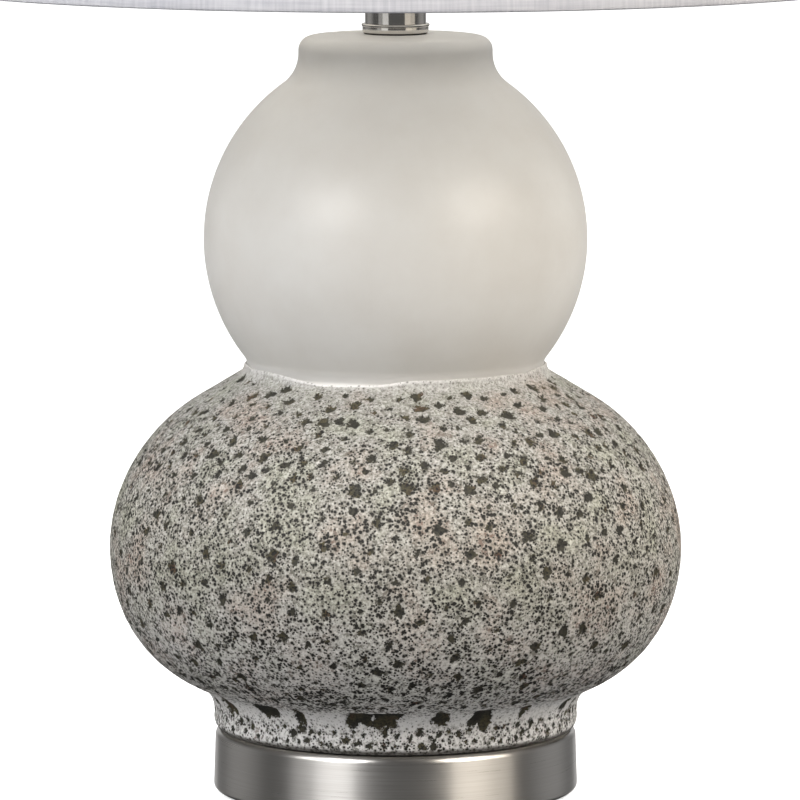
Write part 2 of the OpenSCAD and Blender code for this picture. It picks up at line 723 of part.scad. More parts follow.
module switch_knob() {
    collar_l = 3;
    color("Black") towards_front(knob_y, switch_z) difference() {
        union() {
            cylinder(d = knob_d - 3, h = collar_l);
            intersection() {
                lathe([
                    [0, 0.8], [knob_d / 2 - 2, 0.8], [knob_d / 2, collar_l + 1],
                    [knob_d / 2, knob_l - 2], [knob_d / 2 - 2, knob_l], [0, knob_l]]);
                translate([-knob_d, -knob_grip_t / 2, 0]) cube([2 * knob_d, knob_grip_t, knob_l]);
            }
        }
        translate([0, 0, -1]) cylinder(d = shaft_d, h = knob_l - 2);
    }
}

// Wire swept along a path in the harp's plane, given as [x, z, heading]
module wire_sweep(path) {
    rings = len(path);
    points = [for (p = path, k = [0 : wire_sides - 1]) let (a = 360 * k / wire_sides)
        [p[0] - wire_r * cos(a) * sin(p[2]), wire_r * sin(a), p[1] + wire_r * cos(a) * cos(p[2])]];
    walls = [for (i = [0 : rings - 2], k = [0 : wire_sides - 1], upper = [false, true])
        let (a = i * wire_sides + k, b = i * wire_sides + (k + 1) % wire_sides)
        upper ? [a, b + wire_sides, a + wire_sides] : [a, b, b + wire_sides]];
    start_cap = [for (k = [1 : wire_sides - 2]) [0, k + 1, k]];
    last = (rings - 1) * wire_sides;
    end_cap = [for (k = [1 : wire_sides - 2]) [last, last + k, last + k + 1]];
    polyhedron(points, concat(start_cap, walls, end_cap));
}

module harp_wire() {
    over = [for (p = reversed(leg_path)) [-p[0], p[1], -p[2]]];
    color("Silver") wire_sweep(concat(leg_path, over));
}

module harp_stud() {
    clip_w = 10;
    below = crown_z - hub_clip_r;
    color("Silver") difference() {
        union() {
            translate([0, 0, below]) cylinder(d = clip_w, h = flange_z - below);
            translate([0, 0, flange_z - stud_flange_t]) cylinder(d = stud_flange_d, h = stud_flange_t);
            translate([0, 0, flange_z]) cylinder(d = stud_d, h = stud_h - 1);
            translate([0, 0, flange_z + stud_h - 1])
                cylinder(r1 = stud_d / 2, r2 = stud_d / 2 - 0.8, h = 1);
        }
        translate([-clip_w, 0, crown_z]) rotate([0, 90, 0])
            cylinder(r = wire_r + 0.02, h = 2 * clip_w);
    }
}

module harp_sleeve(x) {
    neck = 4;
    r = sleeve_d / 2;
    tab_bore_r = norm([tab_w, saddle_t]) / 2 + 0.3;
    wire_bore_r = wire_r + 0.06;
    color("Silver") translate([x, 0, arm_top]) lathe([
        [tab_bore_r, 0], [r, 0], [r, sleeve_h - 1], [r - 1, sleeve_h], [wire_bore_r, sleeve_h],
        [wire_bore_r, sleeve_h - neck], [tab_bore_r, sleeve_h - neck - 0.6]]);
}

module harp_sleeve_left() {
    harp_sleeve(-tab_x);
}

module harp_sleeve_right() {
    harp_sleeve(tab_x);
}

// A layer of the shade, between two depths behind its outer face
module shade_layer(outer, inner, z0, z1) {
    lathe([
        [shade_r(z0) - outer, z0], [shade_r(z1) - outer, z1],
        [shade_r(z1) - inner, z1], [shade_r(z0) - inner, z0]]);
}

module shade_linen() {
    color("WhiteSmoke")
        shade_layer(0, linen_t, shade_z + hem_t, shade_top - hem_t);
}

module shade_liner() {
    color("White")
        shade_layer(linen_t, skin_t, shade_z + hem_t, shade_top - hem_t);
}

module rim_ring(z) {
    color("Silver") translate([0, 0, z]) rotate_extrude()
        translate([shade_r(z) - skin_t - rim_wire_r - seat_gap, 0]) circle(r = rim_wire_r);
}

module shade_top_ring() {
    rim_ring(shade_top - hem_t - rim_wire_r - seat_gap);
}

module shade_bottom_ring() {
    rim_ring(shade_z + hem_t + rim_wire_r + seat_gap);
}

// Tape folded over one rim: a band outside, the fold, and a band behind the rim wire
module hem(rim, dir) {
    inner = skin_t + rim_wire_d + 3 * seat_gap;
    outer_z = rim + dir * hem_h;
    inner_z = rim + dir * hem_inner_h;
    fold_z = rim + dir * hem_t;
    color("WhiteSmoke") lathe([
        [shade_r(outer_z), outer_z], [shade_r(outer_z) + hem_t, outer_z],
        [shade_r(fold_z) + hem_t, fold_z], [shade_r(rim), rim],
        [shade_r(rim) - inner, rim], [shade_r(fold_z) - inner - hem_t, fold_z],
        [shade_r(inner_z) - inner - hem_t, inner_z], [shade_r(inner_z) - inner, inner_z],
        [shade_r(fold_z) - inner, fold_z], [shade_r(fold_z), fold_z]]);
}

module shade_top_hem() {
    hem(shade_top, -1);
}

module shade_bottom_hem() {
    hem(shade_z, 1);
}

module shade_fitter() {
    ring_z = shade_top - hem_t - rim_wire_r - seat_gap;
    start = [hub_d / 2 - 1, hub_z + hub_t];
    tape_x = shade_r(ring_z) - skin_t - rim_wire_d - 3 * seat_gap - hem_t;
    slope = (ring_z - start.y) / (tape_x - start.x);
    run = [tape_x - seat_gap - arm_d / 2 * slope, ring_z] - start;
    color("Silver") {
        ring(hub_d / 2, hub_hole_d / 2, hub_z, hub_t);
        for (i = [0 : arms - 1]) rotate([0, 0, 90 + i * 360 / arms])
            translate([start.x, 0, start.y]) rotate([0, 90 - atan2(run.y, run.x), 0])
                cylinder(d = arm_d, h = norm(run));
    }
}

module finial_slip_washer() {
    color("Silver") ring(slip_washer_d / 2, stud_d / 2 + 0.3, slip_washer_z, slip_washer_t);
}

module finial_knob() {
    foot_r = finial_foot_d / 2;
    waist_r = finial_waist_d / 2;
    waist_z = finial_z + finial_foot_h;
    ball_z = waist_z + finial_waist_h + sqrt(pow(finial_ball_r, 2) - pow(waist_r, 2));
    top = ball_z + finial_ball_r;
    color("Silver") lathe(concat(
        [[finial_bore_r, finial_z], [foot_r - 0.4, finial_z], [foot_r, finial_z + 0.4],
         [foot_r, waist_z - 0.8], [foot_r - 0.6, waist_z], [waist_r, waist_z + 0.6]],
        arc([0, ball_z], finial_ball_r, -acos(waist_r / finial_ball_r), 90),
        [[0, finial_z + finial_bore_h], [finial_bore_r, finial_z + finial_bore_h]]));
}

module bulb_globe() {
    inner_r = globe_r - globe_wall;
    a = asin(globe_cut / globe_r);
    color("White") lathe(concat(
        arc([0, globe_z], globe_r, -a, 90),
        arc([0, globe_z], inner_r, 90, -asin(globe_cut / inner_r))));
}

module bulb_housing() {
    stem_r = cap_thread_d / 2 - screw_ridge - ridge_wall - seat_gap;
    neck_r = cap_thread_d / 2 + 0.6;
    top = housing_z + housing_h;
    color("WhiteSmoke") lathe([
        [0, bulb_base_z + 0.5], [stem_r, bulb_base_z + 0.5], [stem_r, housing_z],
        [neck_r, housing_z], [neck_r, housing_z + 3], [housing_d / 2 - 5, top - 9],
        [housing_d / 2, top], [housing_d / 2 - 3, top], [0, top]]);
}

module bulb_screw_base() {
    r = cap_thread_d / 2 - screw_ridge;
    color("Silver") lathe(concat(
        [[r, bulb_base_z]], ridges(r, bulb_base_z, cap_thread_h), [[r, housing_z]],
        [[r - ridge_wall, housing_z]], [[r - ridge_wall, bulb_base_z]]));
}

module bulb_insulator() {
    color("Black") lathe([
        [0, bulb_z + button_h], [4.6, bulb_z + button_h],
        [cap_thread_d / 2 - screw_ridge, bulb_base_z], [0, bulb_base_z]]);
}

module bulb_contact() {
    color("Silver") lathe([
        [0, bulb_z], [3.4, bulb_z], [4.6, bulb_z + 0.7], [4.6, bulb_z + button_h], [0, bulb_z + button_h]]);
}

base_felt();
base_drum();
base_weight();
base_washer();
base_nut();
cord_bushing();
centre_rod();
foot_gasket();
ceramic_lower();
ceramic_upper();
cratered_coat();
collar_seal();
neck_collar();
neck_tube();
tube_cap();
neck_nut();
harp_saddle();
socket_cap();
socket_shell();
socket_insulator();
socket_core();
screw_shell();
centre_contact();
terminal_screws();
cap_set_screw();
switch_shaft();
switch_knob();
harp_wire();
harp_stud();
harp_sleeve_left();
harp_sleeve_right();
shade_linen();
shade_liner();
shade_top_ring();
shade_bottom_ring();
shade_top_hem();
shade_bottom_hem();
shade_fitter();
finial_slip_washer();
finial_knob();
bulb_globe();
bulb_housing();
bulb_screw_base();
bulb_insulator();
bulb_contact();
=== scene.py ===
"""Looks of a two-bulb ceramic table lamp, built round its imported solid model.

The lamp stands on its axis, the line x = y = 0, with its switch towards -Y. Shapes are drawn in
millimetres, as in the part's source, and each finished piece is put in metres.
"""
import json
import logging
import math
from collections.abc import Mapping, Sequence
from dataclasses import dataclass
from enum import Enum
from typing import Any

import bmesh
import bpy
import numpy as np
from mathutils import Matrix, Vector, kdtree, noise

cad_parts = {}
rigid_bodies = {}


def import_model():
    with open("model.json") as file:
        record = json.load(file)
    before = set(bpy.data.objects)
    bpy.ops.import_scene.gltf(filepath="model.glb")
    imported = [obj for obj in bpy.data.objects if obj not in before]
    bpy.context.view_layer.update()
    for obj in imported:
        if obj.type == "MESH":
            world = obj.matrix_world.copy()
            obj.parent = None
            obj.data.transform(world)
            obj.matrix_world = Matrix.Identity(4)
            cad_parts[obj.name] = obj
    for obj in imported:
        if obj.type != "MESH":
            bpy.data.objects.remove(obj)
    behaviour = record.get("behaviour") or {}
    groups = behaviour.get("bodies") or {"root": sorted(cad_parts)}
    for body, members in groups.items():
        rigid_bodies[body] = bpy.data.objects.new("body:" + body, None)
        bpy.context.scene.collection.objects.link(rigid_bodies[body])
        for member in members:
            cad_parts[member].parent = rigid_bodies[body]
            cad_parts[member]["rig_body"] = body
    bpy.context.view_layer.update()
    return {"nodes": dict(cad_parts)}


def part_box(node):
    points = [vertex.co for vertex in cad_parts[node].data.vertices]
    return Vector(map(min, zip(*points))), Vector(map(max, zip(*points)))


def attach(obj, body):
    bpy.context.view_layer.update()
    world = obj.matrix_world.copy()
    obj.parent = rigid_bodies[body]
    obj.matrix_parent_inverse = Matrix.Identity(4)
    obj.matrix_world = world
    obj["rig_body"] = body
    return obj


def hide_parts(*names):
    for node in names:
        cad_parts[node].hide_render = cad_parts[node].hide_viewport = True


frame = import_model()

MM = 0.001
FULL_TURN = 2 * math.pi
# An edge that bends more than this, in degrees, is drawn as a crease
CREASE = 34.0
log = logging.getLogger("lamp")


# ------------------------------------------------------------------ materials


def linear(colour: str) -> tuple[float, float, float, float]:
    """Turns an sRGB hex colour into the linear values that shader sockets take.

    Args:
        colour: Six hex digits after a hash sign.

    Returns:
        Linear red, green, blue and an alpha of one.
    """
    parts = [int(colour[i:i + 2], 16) / 255 for i in (1, 3, 5)]
    red, green, blue = [c / 12.92 if c <= 0.04045 else ((c + 0.055) / 1.055) ** 2.4 for c in parts]
    return red, green, blue, 1.0


def add_node(
    tree: bpy.types.NodeTree,
    kind: str,
    sockets: Mapping[int | str, Any] | Sequence[Any] = (),
    stops: Sequence[tuple[float, str]] = (),
    out: str = "",
    **settings: Any,
) -> bpy.types.NodeSocket | None:
    """Adds one node with its settings, its values and its links.

    Args:
        tree: Node tree that gets the node.
        kind: Blender's type name of the node, after the word ShaderNode.
        sockets: Each input's value, or the output linked to it, by name or in order.
        stops: Places and hex colours of a colour ramp.
        out: Name of the output that is wanted, if not the first in use.
        **settings: Attributes of the node.

    Returns:
        The wanted output of the new node, if it has any.
    """
    node = tree.nodes.new("ShaderNode" + kind)
    for key, value in settings.items():
        setattr(node, key, value)
    for key, value in sockets.items() if isinstance(sockets, Mapping) else enumerate(sockets):
        if isinstance(value, bpy.types.NodeSocket):
            tree.links.new(value, node.inputs[key])
        else:
            node.inputs[key].default_value = value
    if stops:
        elements = node.color_ramp.elements
        while len(elements) < len(stops):
            elements.new(0.5)
        for element, (place, colour) in zip(elements, stops):
            element.position = place
            element.color = linear(colour)
    if out:
        return node.outputs[out]
    return next((output for output in node.outputs if output.enabled), None)


@dataclass(frozen=True)
class Finish:
    """A finish that every piece made of it shares."""

    name: str
    slot: str

    def material(self) -> bpy.types.Material:
        """Returns the finish's material, made the first time it is asked for."""
        known = bpy.data.materials.get(self.name)
        if known is not None:
            return known
        made = bpy.data.materials.new(self.name)
        made.use_nodes = True
        tree = made.node_tree
        tree.nodes.clear()
        shader = add_node(tree, "BsdfPrincipled", self.look(tree))
        add_node(tree, "OutputMaterial", {"Surface": shader})
        return made

    def look(self, tree: bpy.types.NodeTree) -> dict[str, Any]:
        """Returns the shader's sockets with their values or patterns; each finish has its own."""
        raise NotImplementedError


def grained(
    tree: bpy.types.NodeTree, grain: bpy.types.NodeSocket, roughness: float, spread: float,
    relief: float, strength: float,
) -> dict[str, Any]:
    """Lets a grain show in the gloss and in the relief of a finish.

    Args:
        tree: Node tree of the finish.
        grain: Output that holds the grain.
        roughness: Mean roughness.
        spread: How far the grain moves the roughness from its mean.
        relief: Depth of the grain, in millimetres.
        strength: Share of the relief that shows.

    Returns:
        The shader's sockets for roughness and relief, with their patterns.
    """
    return {
        "Roughness": add_node(tree, "MapRange", (
            grain, 0.3, 0.7, roughness - spread, roughness + spread)),
        "Normal": add_node(tree, "Bump", {
            "Height": grain, "Strength": strength, "Distance": relief * MM}),
    }


@dataclass(frozen=True)
class Metal(Finish):
    """A metal whose brushing, plating or casting shows as fine streaks or grains."""

    bright: str = "#cfcbc7"
    dull: str = "#b9b4af"
    roughness: float = 0.3
    spread: float = 0.08
    # Distance between streaks or grains along x, y and z, in millimetres
    grain: tuple[float, float, float] = (3.0, 3.0, 3.0)
    relief: float = 0.01
    anisotropy: float = 0.0
    turned: float = 0.0

    def look(self, tree: bpy.types.NodeTree) -> dict[str, Any]:
        """Returns streaked colour, roughness and relief for the shader."""
        scaled = add_node(tree, "Mapping", {
            "Vector": add_node(tree, "TexCoord", out="Object"),
            "Scale": [1 / (size * MM) for size in self.grain]})
        streaks = add_node(tree, "TexNoise", {
            "Vector": scaled, "Scale": 1.0, "Detail": 3.0, "Roughness": 0.6})
        tones = (0.3, self.dull), (0.7, self.bright)
        return {
            "Base Color": add_node(tree, "ValToRGB", (streaks,), tones),
            "Metallic": 1.0,
            "Anisotropic": self.anisotropy,
            "Anisotropic Rotation": self.turned,
        } | grained(tree, streaks, self.roughness, self.spread, self.relief, 0.5)


@dataclass(frozen=True)
class Moulded(Finish):
    """A plastic, rubber, felt or board whose colour drifts and whose skin has a fine grain."""

    light: str = "#303030"
    dark: str = "#242424"
    roughness: float = 0.5
    grain: float = 0.6
    relief: float = 0.03
    drift: float = 12.0
    ior: float = 1.5
    sheen: float = 0.0

    def look(self, tree: bpy.types.NodeTree) -> dict[str, Any]:
        """Returns a drifting colour and a grainy gloss and relief for the shader."""
        place = add_node(tree, "TexCoord", out="Object")
        drift, grain = (
            add_node(tree, "TexNoise", {
                "Vector": place, "Scale": 1 / (size * MM), "Detail": detail, "Roughness": rough})
            for size, detail, rough in ((self.drift, 4.0, 0.65), (self.grain, 2.0, 0.6)))
        tones = (0.35, self.dark), (0.65, self.light)
        return {
            "Base Color": add_node(tree, "ValToRGB", (drift,), tones),
            "IOR": self.ior,
            "Sheen Weight": self.sheen,
        } | grained(tree, grain, self.roughness, 0.06, self.relief, 0.6)


@dataclass(frozen=True)
class SatinGlaze(Finish):
    """Satin white glaze over slip-cast stoneware: soft broad highlights, barely mottled."""

    def look(self, tree: bpy.types.NodeTree) -> dict[str, Any]:
        """Returns the glaze's faint pooling, the painted shade in its waist and the ripple left by
        the casting slip.
        """
        place = add_node(tree, "TexCoord", out="Object")
        # Glaze pools over 35 mm, which tints it by a shade or two. Its matting crystals are far
        # below a pixel, so they are drawn 0.8 mm apart
        pools, crystals = (
            add_node(tree, "TexNoise", {
                "Vector": place, "Scale": 1 / (size * MM), "Detail": detail, "Roughness": rough})
            for size, detail, rough in ((35, 5.0, 0.55), (0.8, 2.0, 0.6)))
        tone = add_node(tree, "ValToRGB", (pools,), ((0.35, "#d8d5d0"), (0.65, "#dedcd8")))
        # Painted shade darkens the glaze in the hollow of the waist, which faces up into the light,
        # but not the lowest millimetre
        height = add_node(tree, "SeparateXYZ", (place,), out="Z")
        waist = add_node(tree, "MapRange", (height, 0.19, 0.202))
        waist_painted_shade = add_node(tree, "ValToRGB", (waist,), (
            (0.12, "#ffffff"), (0.25, "#d8d8d8"), (0.45, "#e4e4e4"), (0.62, "#fbfbfb")))
        return {
            "Base Color": add_node(tree, "Mix", {
                0: 1.0, 6: tone, 7: waist_painted_shade}, data_type="RGBA", blend_type="MULTIPLY"),
            "Roughness": add_node(tree, "MapRange", (crystals, 0.3, 0.7, 0.36, 0.46)),
            "Normal": add_node(tree, "Bump", {
                "Height": pools, "Strength": 0.35, "Distance": 0.5 * MM}),
            "IOR": 1.52,
        }


@dataclass(frozen=True)
class CrateredGlaze(Finish):
    """Volcanic glaze: gas that bursts in the firing leaves dark pits in a pale matt crust.

    The wide pits are in the mesh, whose pit_edge attribute gives the distance to the nearest
    pit's edge in millimetres, and whose other attribute says how whitish the glaze is below the
    lip and how strong the highlight painted on the lip is. The fine pits are drawn here.
    """

    def look(self, tree: bpy.types.NodeTree) -> dict[str, Any]:
        """Returns the crust, the wide pits, two sizes of fine pits, the tints, and the light and
        shade painted into them.
        """
        place = add_node(tree, "TexCoord", out="Object")
        height = add_node(tree, "SeparateXYZ", (place,), out="Z")
        # The zone runs from 0 at the foot to 1 above the lip
        zone = add_node(tree, "MapRange", (height, 0.03, 0.2, 0.0, 1.0))
        # Edges are ragged over 1.5 mm, pits swell over 9 mm, the crust is mottled over 1.2 mm
        # and clouded over 24 mm
        rag, swell, mottle, clouds = (
            add_node(tree, "TexNoise", {
                "Vector": place, "Scale": 1 / (size * MM), "Detail": detail, "Roughness": rough})
            for size, detail, rough in (
                (1.5, 3.0, 0.7), (9, 2.0, 0.5), (1.2, 4.0, 0.7), (24, 3.0, 0.5)))
        size, shoulder, runs_and_painted_light, crust, tint, clay, floor = (
            add_node(tree, "ValToRGB", (source,), stops) for source, stops in (
                # Fine pits grow below the shoulder and shrink on the foot's runs of glaze
                (zone, (
                    (0.0, "#f6f6f6"), (0.06, "#e4e4e4"), (0.08, "#b0b0b0"), (0.1, "#b0b0b0"),
                    (0.125, "#ffffff"), (0.72, "#ffffff"), (0.82, "#f4f4f4"), (0.89, "#dcdcdc"),
                    (0.96, "#a8a8a8"))),
                # The shoulder is tinted a little cooler and darkened a little: painted shade that
                # offsets the light falling on it from above
                (zone, ((0.62, "#ffffff"), (0.86, "#f3f5f9"))),
                # Whitish glaze runs on the foot. Above them the crust lightens downwards: painted
                # light standing in for light from below
                (zone, (
                    (0.11, "#e8e8e8"), (0.15, "#b4b4b4"), (0.23, "#a8a8a8"), (0.48, "#000000"))),
                # The pale crust, and its faint olive and pink clouds
                (mottle, (
                    (0.34, "#69665d"), (0.45, "#96938b"), (0.55, "#b1aea7"), (0.68, "#cdcac4"))),
                (clouds, ((0.34, "#f6f9ef"), (0.5, "#ffffff"), (0.66, "#fff4ee"))),
                # Bare clay in the blots, and on the floors of the wide pits, where rust and olive
                # show as the glaze pooled
                (clouds, ((0.38, "#4f5043"), (0.52, "#57544a"), (0.66, "#6a4f43"))),
                (swell, ((0.3, "#201e18"), (0.48, "#2c2a20"), (0.6, "#3c3724"), (0.74, "#4b3327"))),
            ))

        # The distance to a wide pit's edge is shaken by up to 0.95 mm
        shake = add_node(tree, "MapRange", (rag, 0.3, 0.7, -0.95, 0.95))
        edge = add_node(tree, "Attribute", out="Fac", attribute_name="pit_edge")
        ragged = add_node(tree, "Math", (edge, shake), operation="ADD")
        wide = add_node(tree, "MapRange", (ragged, -0.3, 0.25, 1.0, 0.0))

        # Fine pits: cells of two sizes, bent out of round and swollen here and there
        bend = add_node(tree, "VectorMath", (
            rag.node.outputs["Color"], (0.9 * MM, 0.9 * MM, 0.9 * MM)), operation="MULTIPLY")
        warped = add_node(tree, "VectorMath", (place, bend), operation="ADD")
        swollen = add_node(tree, "MapRange", (swell, 0.3, 0.7, 0.72, 1.28))
        grown = add_node(tree, "Math", (size, swollen), operation="MULTIPLY")
        pits = []
        for spacing, reach in ((1.35, 0.35), (2.5, 0.33)):
            cells = add_node(tree, "TexVoronoi", {"Vector": warped, "Scale": 1 / (spacing * MM)})
            limit = add_node(tree, "Math", (grown, reach), operation="MULTIPLY")
            pits.append(add_node(tree, "Math", (limit, cells), operation="SUBTRACT"))
        deepest = add_node(tree, "Math", pits, operation="MAXIMUM")
        fine = add_node(tree, "MapRange", (deepest, -0.03, 0.1, 0.0, 1.0))
        halo = add_node(tree, "MapRange", (deepest, -0.25, 0.0, 0.0, 0.5))

        # Blots: bare patches 2 to 4 mm across where the crust is thin
        blots = add_node(tree, "TexNoise", {
            "Vector": warped, "Scale": 1 / (2.7 * MM), "Detail": 3.0, "Roughness": 0.62})
        thin = add_node(tree, "MapRange", (blots, 0.45, 0.38, 0.0, 0.8))
        worn = add_node(tree, "MapRange", (size, 0.35, 0.9))
        bare = add_node(tree, "Math", (thin, worn), operation="MULTIPLY")

        # Whitish glaze below the lip with a highlight painted on the lip, and the runs on the foot
        # with painted light above them
        lip = add_node(tree, "Attribute", out="Fac", attribute_name="lip_edge")
        whitish_and_painted_light = add_node(tree, "Math", (runs_and_painted_light, lip), operation="MAXIMUM")
        grit = add_node(tree, "MapRange", (mottle, 0.38, 0.62, 0.55, 1.75))
        gritty = add_node(tree, "Mix", {
            0: 1.0, 6: floor, 7: grit}, data_type="RGBA", blend_type="MULTIPLY")
        # Painted shadow: the lowest 2 mm is darkened to a brownish near-black, the shade in the
        # groove where the coat meets the drum
        groove_painted_shadow = add_node(tree, "MapRange", (height, 0.0322, 0.0306, 0.0, 0.85))
        # In the layers below, the shoulder's darkening is painted shade. The off-white layer holds
        # a painted highlight on the lip and painted light on the lower crust. The near-black layer
        # at the foot is a painted shadow
        colour = crust
        for share, over, way in (
            (1.0, tint, "MULTIPLY"), (1.0, shoulder, "MULTIPLY"),
            (whitish_and_painted_light, linear("#ebe9e8"), "MIX"), (bare, clay, "MIX"),
            (halo, linear("#77736a"), "MIX"), (wide, gritty, "MIX"),
            # The fine pits are deeper than wide, so no light leaves them
            (fine, linear("#181610"), "MIX"), (groove_painted_shadow, linear("#2e2a21"), "MIX"),
        ):
            colour = add_node(tree, "Mix", {
                0: share, 6: colour, 7: over}, data_type="RGBA", blend_type=way)

        hollow = add_node(tree, "Math", (1.0, fine), operation="SUBTRACT")
        relief = add_node(tree, "Math", (mottle, 0.35, hollow), operation="MULTIPLY_ADD")
        return {
            "Base Color": colour,
            "Roughness": 0.72,
            "IOR": 1.5,
            "Normal": add_node(tree, "Bump", {
                "Height": relief, "Strength": 0.8, "Distance": 0.45 * MM}),
        }


@dataclass(frozen=True)
class Woven(Finish):
    """Plain-woven linen on the piece's own UV map, which is in metres of cloth."""

    light: str = "#cfcfce"
    dark: str = "#b4b4b3"
    # Distance between threads, in millimetres
    thread: float = 0.3553058
    relief: float = 0.12

    def look(self, tree: bpy.types.NodeTree) -> dict[str, Any]:
        """Returns warp, weft and slubs for the shader's colour and relief."""
        cloth = add_node(tree, "UVMap", uv_map="cloth")
        # At a scale of 1 a wave is a tenth of pi across
        waves = math.pi / 10 / (self.thread * MM)
        weave = add_node(tree, "Math", [
            add_node(tree, "TexWave", {
                "Vector": cloth, "Scale": waves, "Distortion": 0.6, "Detail": 2.0,
                "Detail Scale": 1.5}, out="Fac", bands_direction=way)
            for way in ("X", "Y")], operation="MULTIPLY")
        # The threads are too fine to show from afar. What shows is slubs, thick stretches of
        # thread 1 to 2 mm wide and 40 to 45 mm long
        slubs = []
        for wide, tall in ((1.6, 45.0), (40.0, 1.5)):
            stretched = add_node(tree, "Mapping", {
                "Vector": cloth, "Scale": (1 / (wide * MM), 1 / (tall * MM), 1.0)})
            slubs.append(add_node(tree, "TexNoise", {
                "Vector": stretched, "Scale": 1.0, "Detail": 3.0, "Roughness": 0.6}))
        knots = add_node(tree, "Math", slubs, operation="ADD")
        body = add_node(tree, "Math", (weave, 0.35, knots), operation="MULTIPLY_ADD")
        level = add_node(tree, "MapRange", (body, 0.75, 1.5))
        tones = (0.1, self.dark), (0.8, self.light)
        return {
            "Base Color": add_node(tree, "ValToRGB", (level,), tones),
            "Normal": add_node(tree, "Bump", {
                "Height": level, "Strength": 0.6, "Distance": self.relief * MM}),
            "Roughness": 0.85,
            "Sheen Weight": 0.15,
            "Sheen Roughness": 0.5,
        }


BRUSHED_NICKEL = Metal(
    # Nickel plate, brushed round the axis: reflections stay sharp sideways and smear upwards
    "nickel_plate_brushed", "brushed_nickel", "#dedbd7", "#d2cec9", 0.31, 0.04,
    grain=(60, 60, 0.5), relief=0.006, anisotropy=0.75, turned=0.25)
TURNED_NICKEL = Metal(
    # Nickel plate on turned steel, buffed: tighter reflections than the brushed drum
    "nickel_plate_buffed", "brushed_nickel", "#d4d0cc", "#c6c1bb", 0.2, 0.04,
    grain=(40, 40, 0.6), relief=0.006, anisotropy=0.5, turned=0.25)
POLISHED_NICKEL = Metal(
    # Nickel plate polished to a near mirror: hard-edged upright bands on the neck
    "nickel_plate_polished", "brushed_nickel", "#e4e1dc", "#dcd8d2", 0.11, 0.015,
    grain=(60, 60, 0.5), relief=0.003)
CAST_IRON = Metal(
    # Cast iron as it leaves the sand: dark, coarse grained
    "cast_iron_raw", "cast_iron", "#6a6663", "#45413e", 0.6, 0.1, grain=(1.4, 1.4, 1.4), relief=0.2)
ZINC = Metal(
    # Zinc plated steel: bluish grey with small spangles
    "steel_zinc_plated", "zinc_plated_steel", "#c3c7cc", "#9fa4aa", 0.35, 0.08, grain=(2, 2, 2))
NICKEL_WIRE = Metal(
    # Drawn steel wire, nickel plated: lines run along the wire, which is mostly upright
    "steel_wire_nickel_plated", "nickel_plated_wire", "#cbc8c3", "#b3afa9", 0.24, 0.05,
    grain=(0.8, 0.8, 18), relief=0.008)
SOCKET_METAL = Metal(
    # Drawn aluminium shell with a satin plating
    "aluminium_shell_satin", "socket_metal", "#cfcdca", "#b9b6b2", 0.3, 0.06, grain=(20, 20, 0.7),
    relief=0.01, anisotropy=0.4, turned=0.25)
BRASS = Metal(
    # Stamped brass contacts: warm yellow, slightly tarnished
    "brass_stamped", "contact_brass", "#dcb76a", "#b48a45", 0.3, 0.08, grain=(4, 4, 4))
BULB_METAL = Metal(
    # Rolled aluminium screw base of the bulb
    "aluminium_rolled", "bulb_metal", "#c9c9c8", "#a8a8a6", 0.34, 0.06, grain=(6, 6, 1.2))
WHITE_WIRE = Moulded(
    # Steel rim wire dipped in white vinyl
    "steel_wire_vinyl_coated", "white_wire", "#ecebe7", "#e1dfda", 0.4, grain=1.2, drift=25)
FELT = Moulded(
    # Pressed wool felt: fibres swallow the light and leave a soft edge
    "wool_felt_pressed", "green_felt", "#3c5a41", "#2b4331", 0.9,
    grain=0.8, relief=0.3, drift=4, sheen=0.2)
NYLON = Moulded(
    # Injection-moulded nylon
    "nylon_moulded", "black_nylon", "#222221", "#191918", 0.42, grain=0.7, ior=1.53)
RUBBER = Moulded(
    # Cut sheet rubber, matt and slightly grey
    "rubber_sheet", "black_rubber", "#2a2927", "#1d1c1b", 0.75, grain=0.6, ior=1.52)
BOARD = Moulded(
    # Vulcanised fibre sleeve: tan, with long fibres
    "fibre_board_rolled", "insulating_board", "#b9935f", "#9a7747", 0.7,
    grain=0.9, relief=0.05, drift=6)
PHENOLIC = Moulded(
    # Compression-moulded phenolic: hard, dark, semi-gloss
    "phenolic_moulded", "black_phenolic", "#262321", "#1a1817", 0.3, grain=0.9, ior=1.6)
LINER = Moulded(
    # Styrene film laminated behind the cloth, smooth and white
    "styrene_film", "styrene_liner", "#f3f2ee", "#ebe9e4", 0.38,
    grain=2.0, relief=0.01, drift=60, ior=1.59)
DIFFUSER = Moulded(
    # Opal polycarbonate globe: milky, soft gloss
    "polycarbonate_opal", "bulb_diffuser", "#f6f4ee", "#eeebe3", 0.3,
    grain=1.5, relief=0.01, drift=30, ior=1.58)
HOUSING = Moulded(
    # Injection-moulded white housing of the bulb
    "pbt_moulded_white", "bulb_plastic", "#eeeeeb", "#e3e3df", 0.42, grain=0.8, ior=1.57)
GLAZE = SatinGlaze("stoneware_satin_glaze", "satin_ceramic")
CRATERS = CrateredGlaze("volcanic_glaze_cratered", "cratered_glaze")
LINEN = Woven("linen_plain_woven", "linen")
HEM = Woven("linen_tape_folded", "hem_tape", "#c1c1c5", "#a6a6ad", 0.4737410, 0.05)


# --------------------------------------------------------------------- shapes


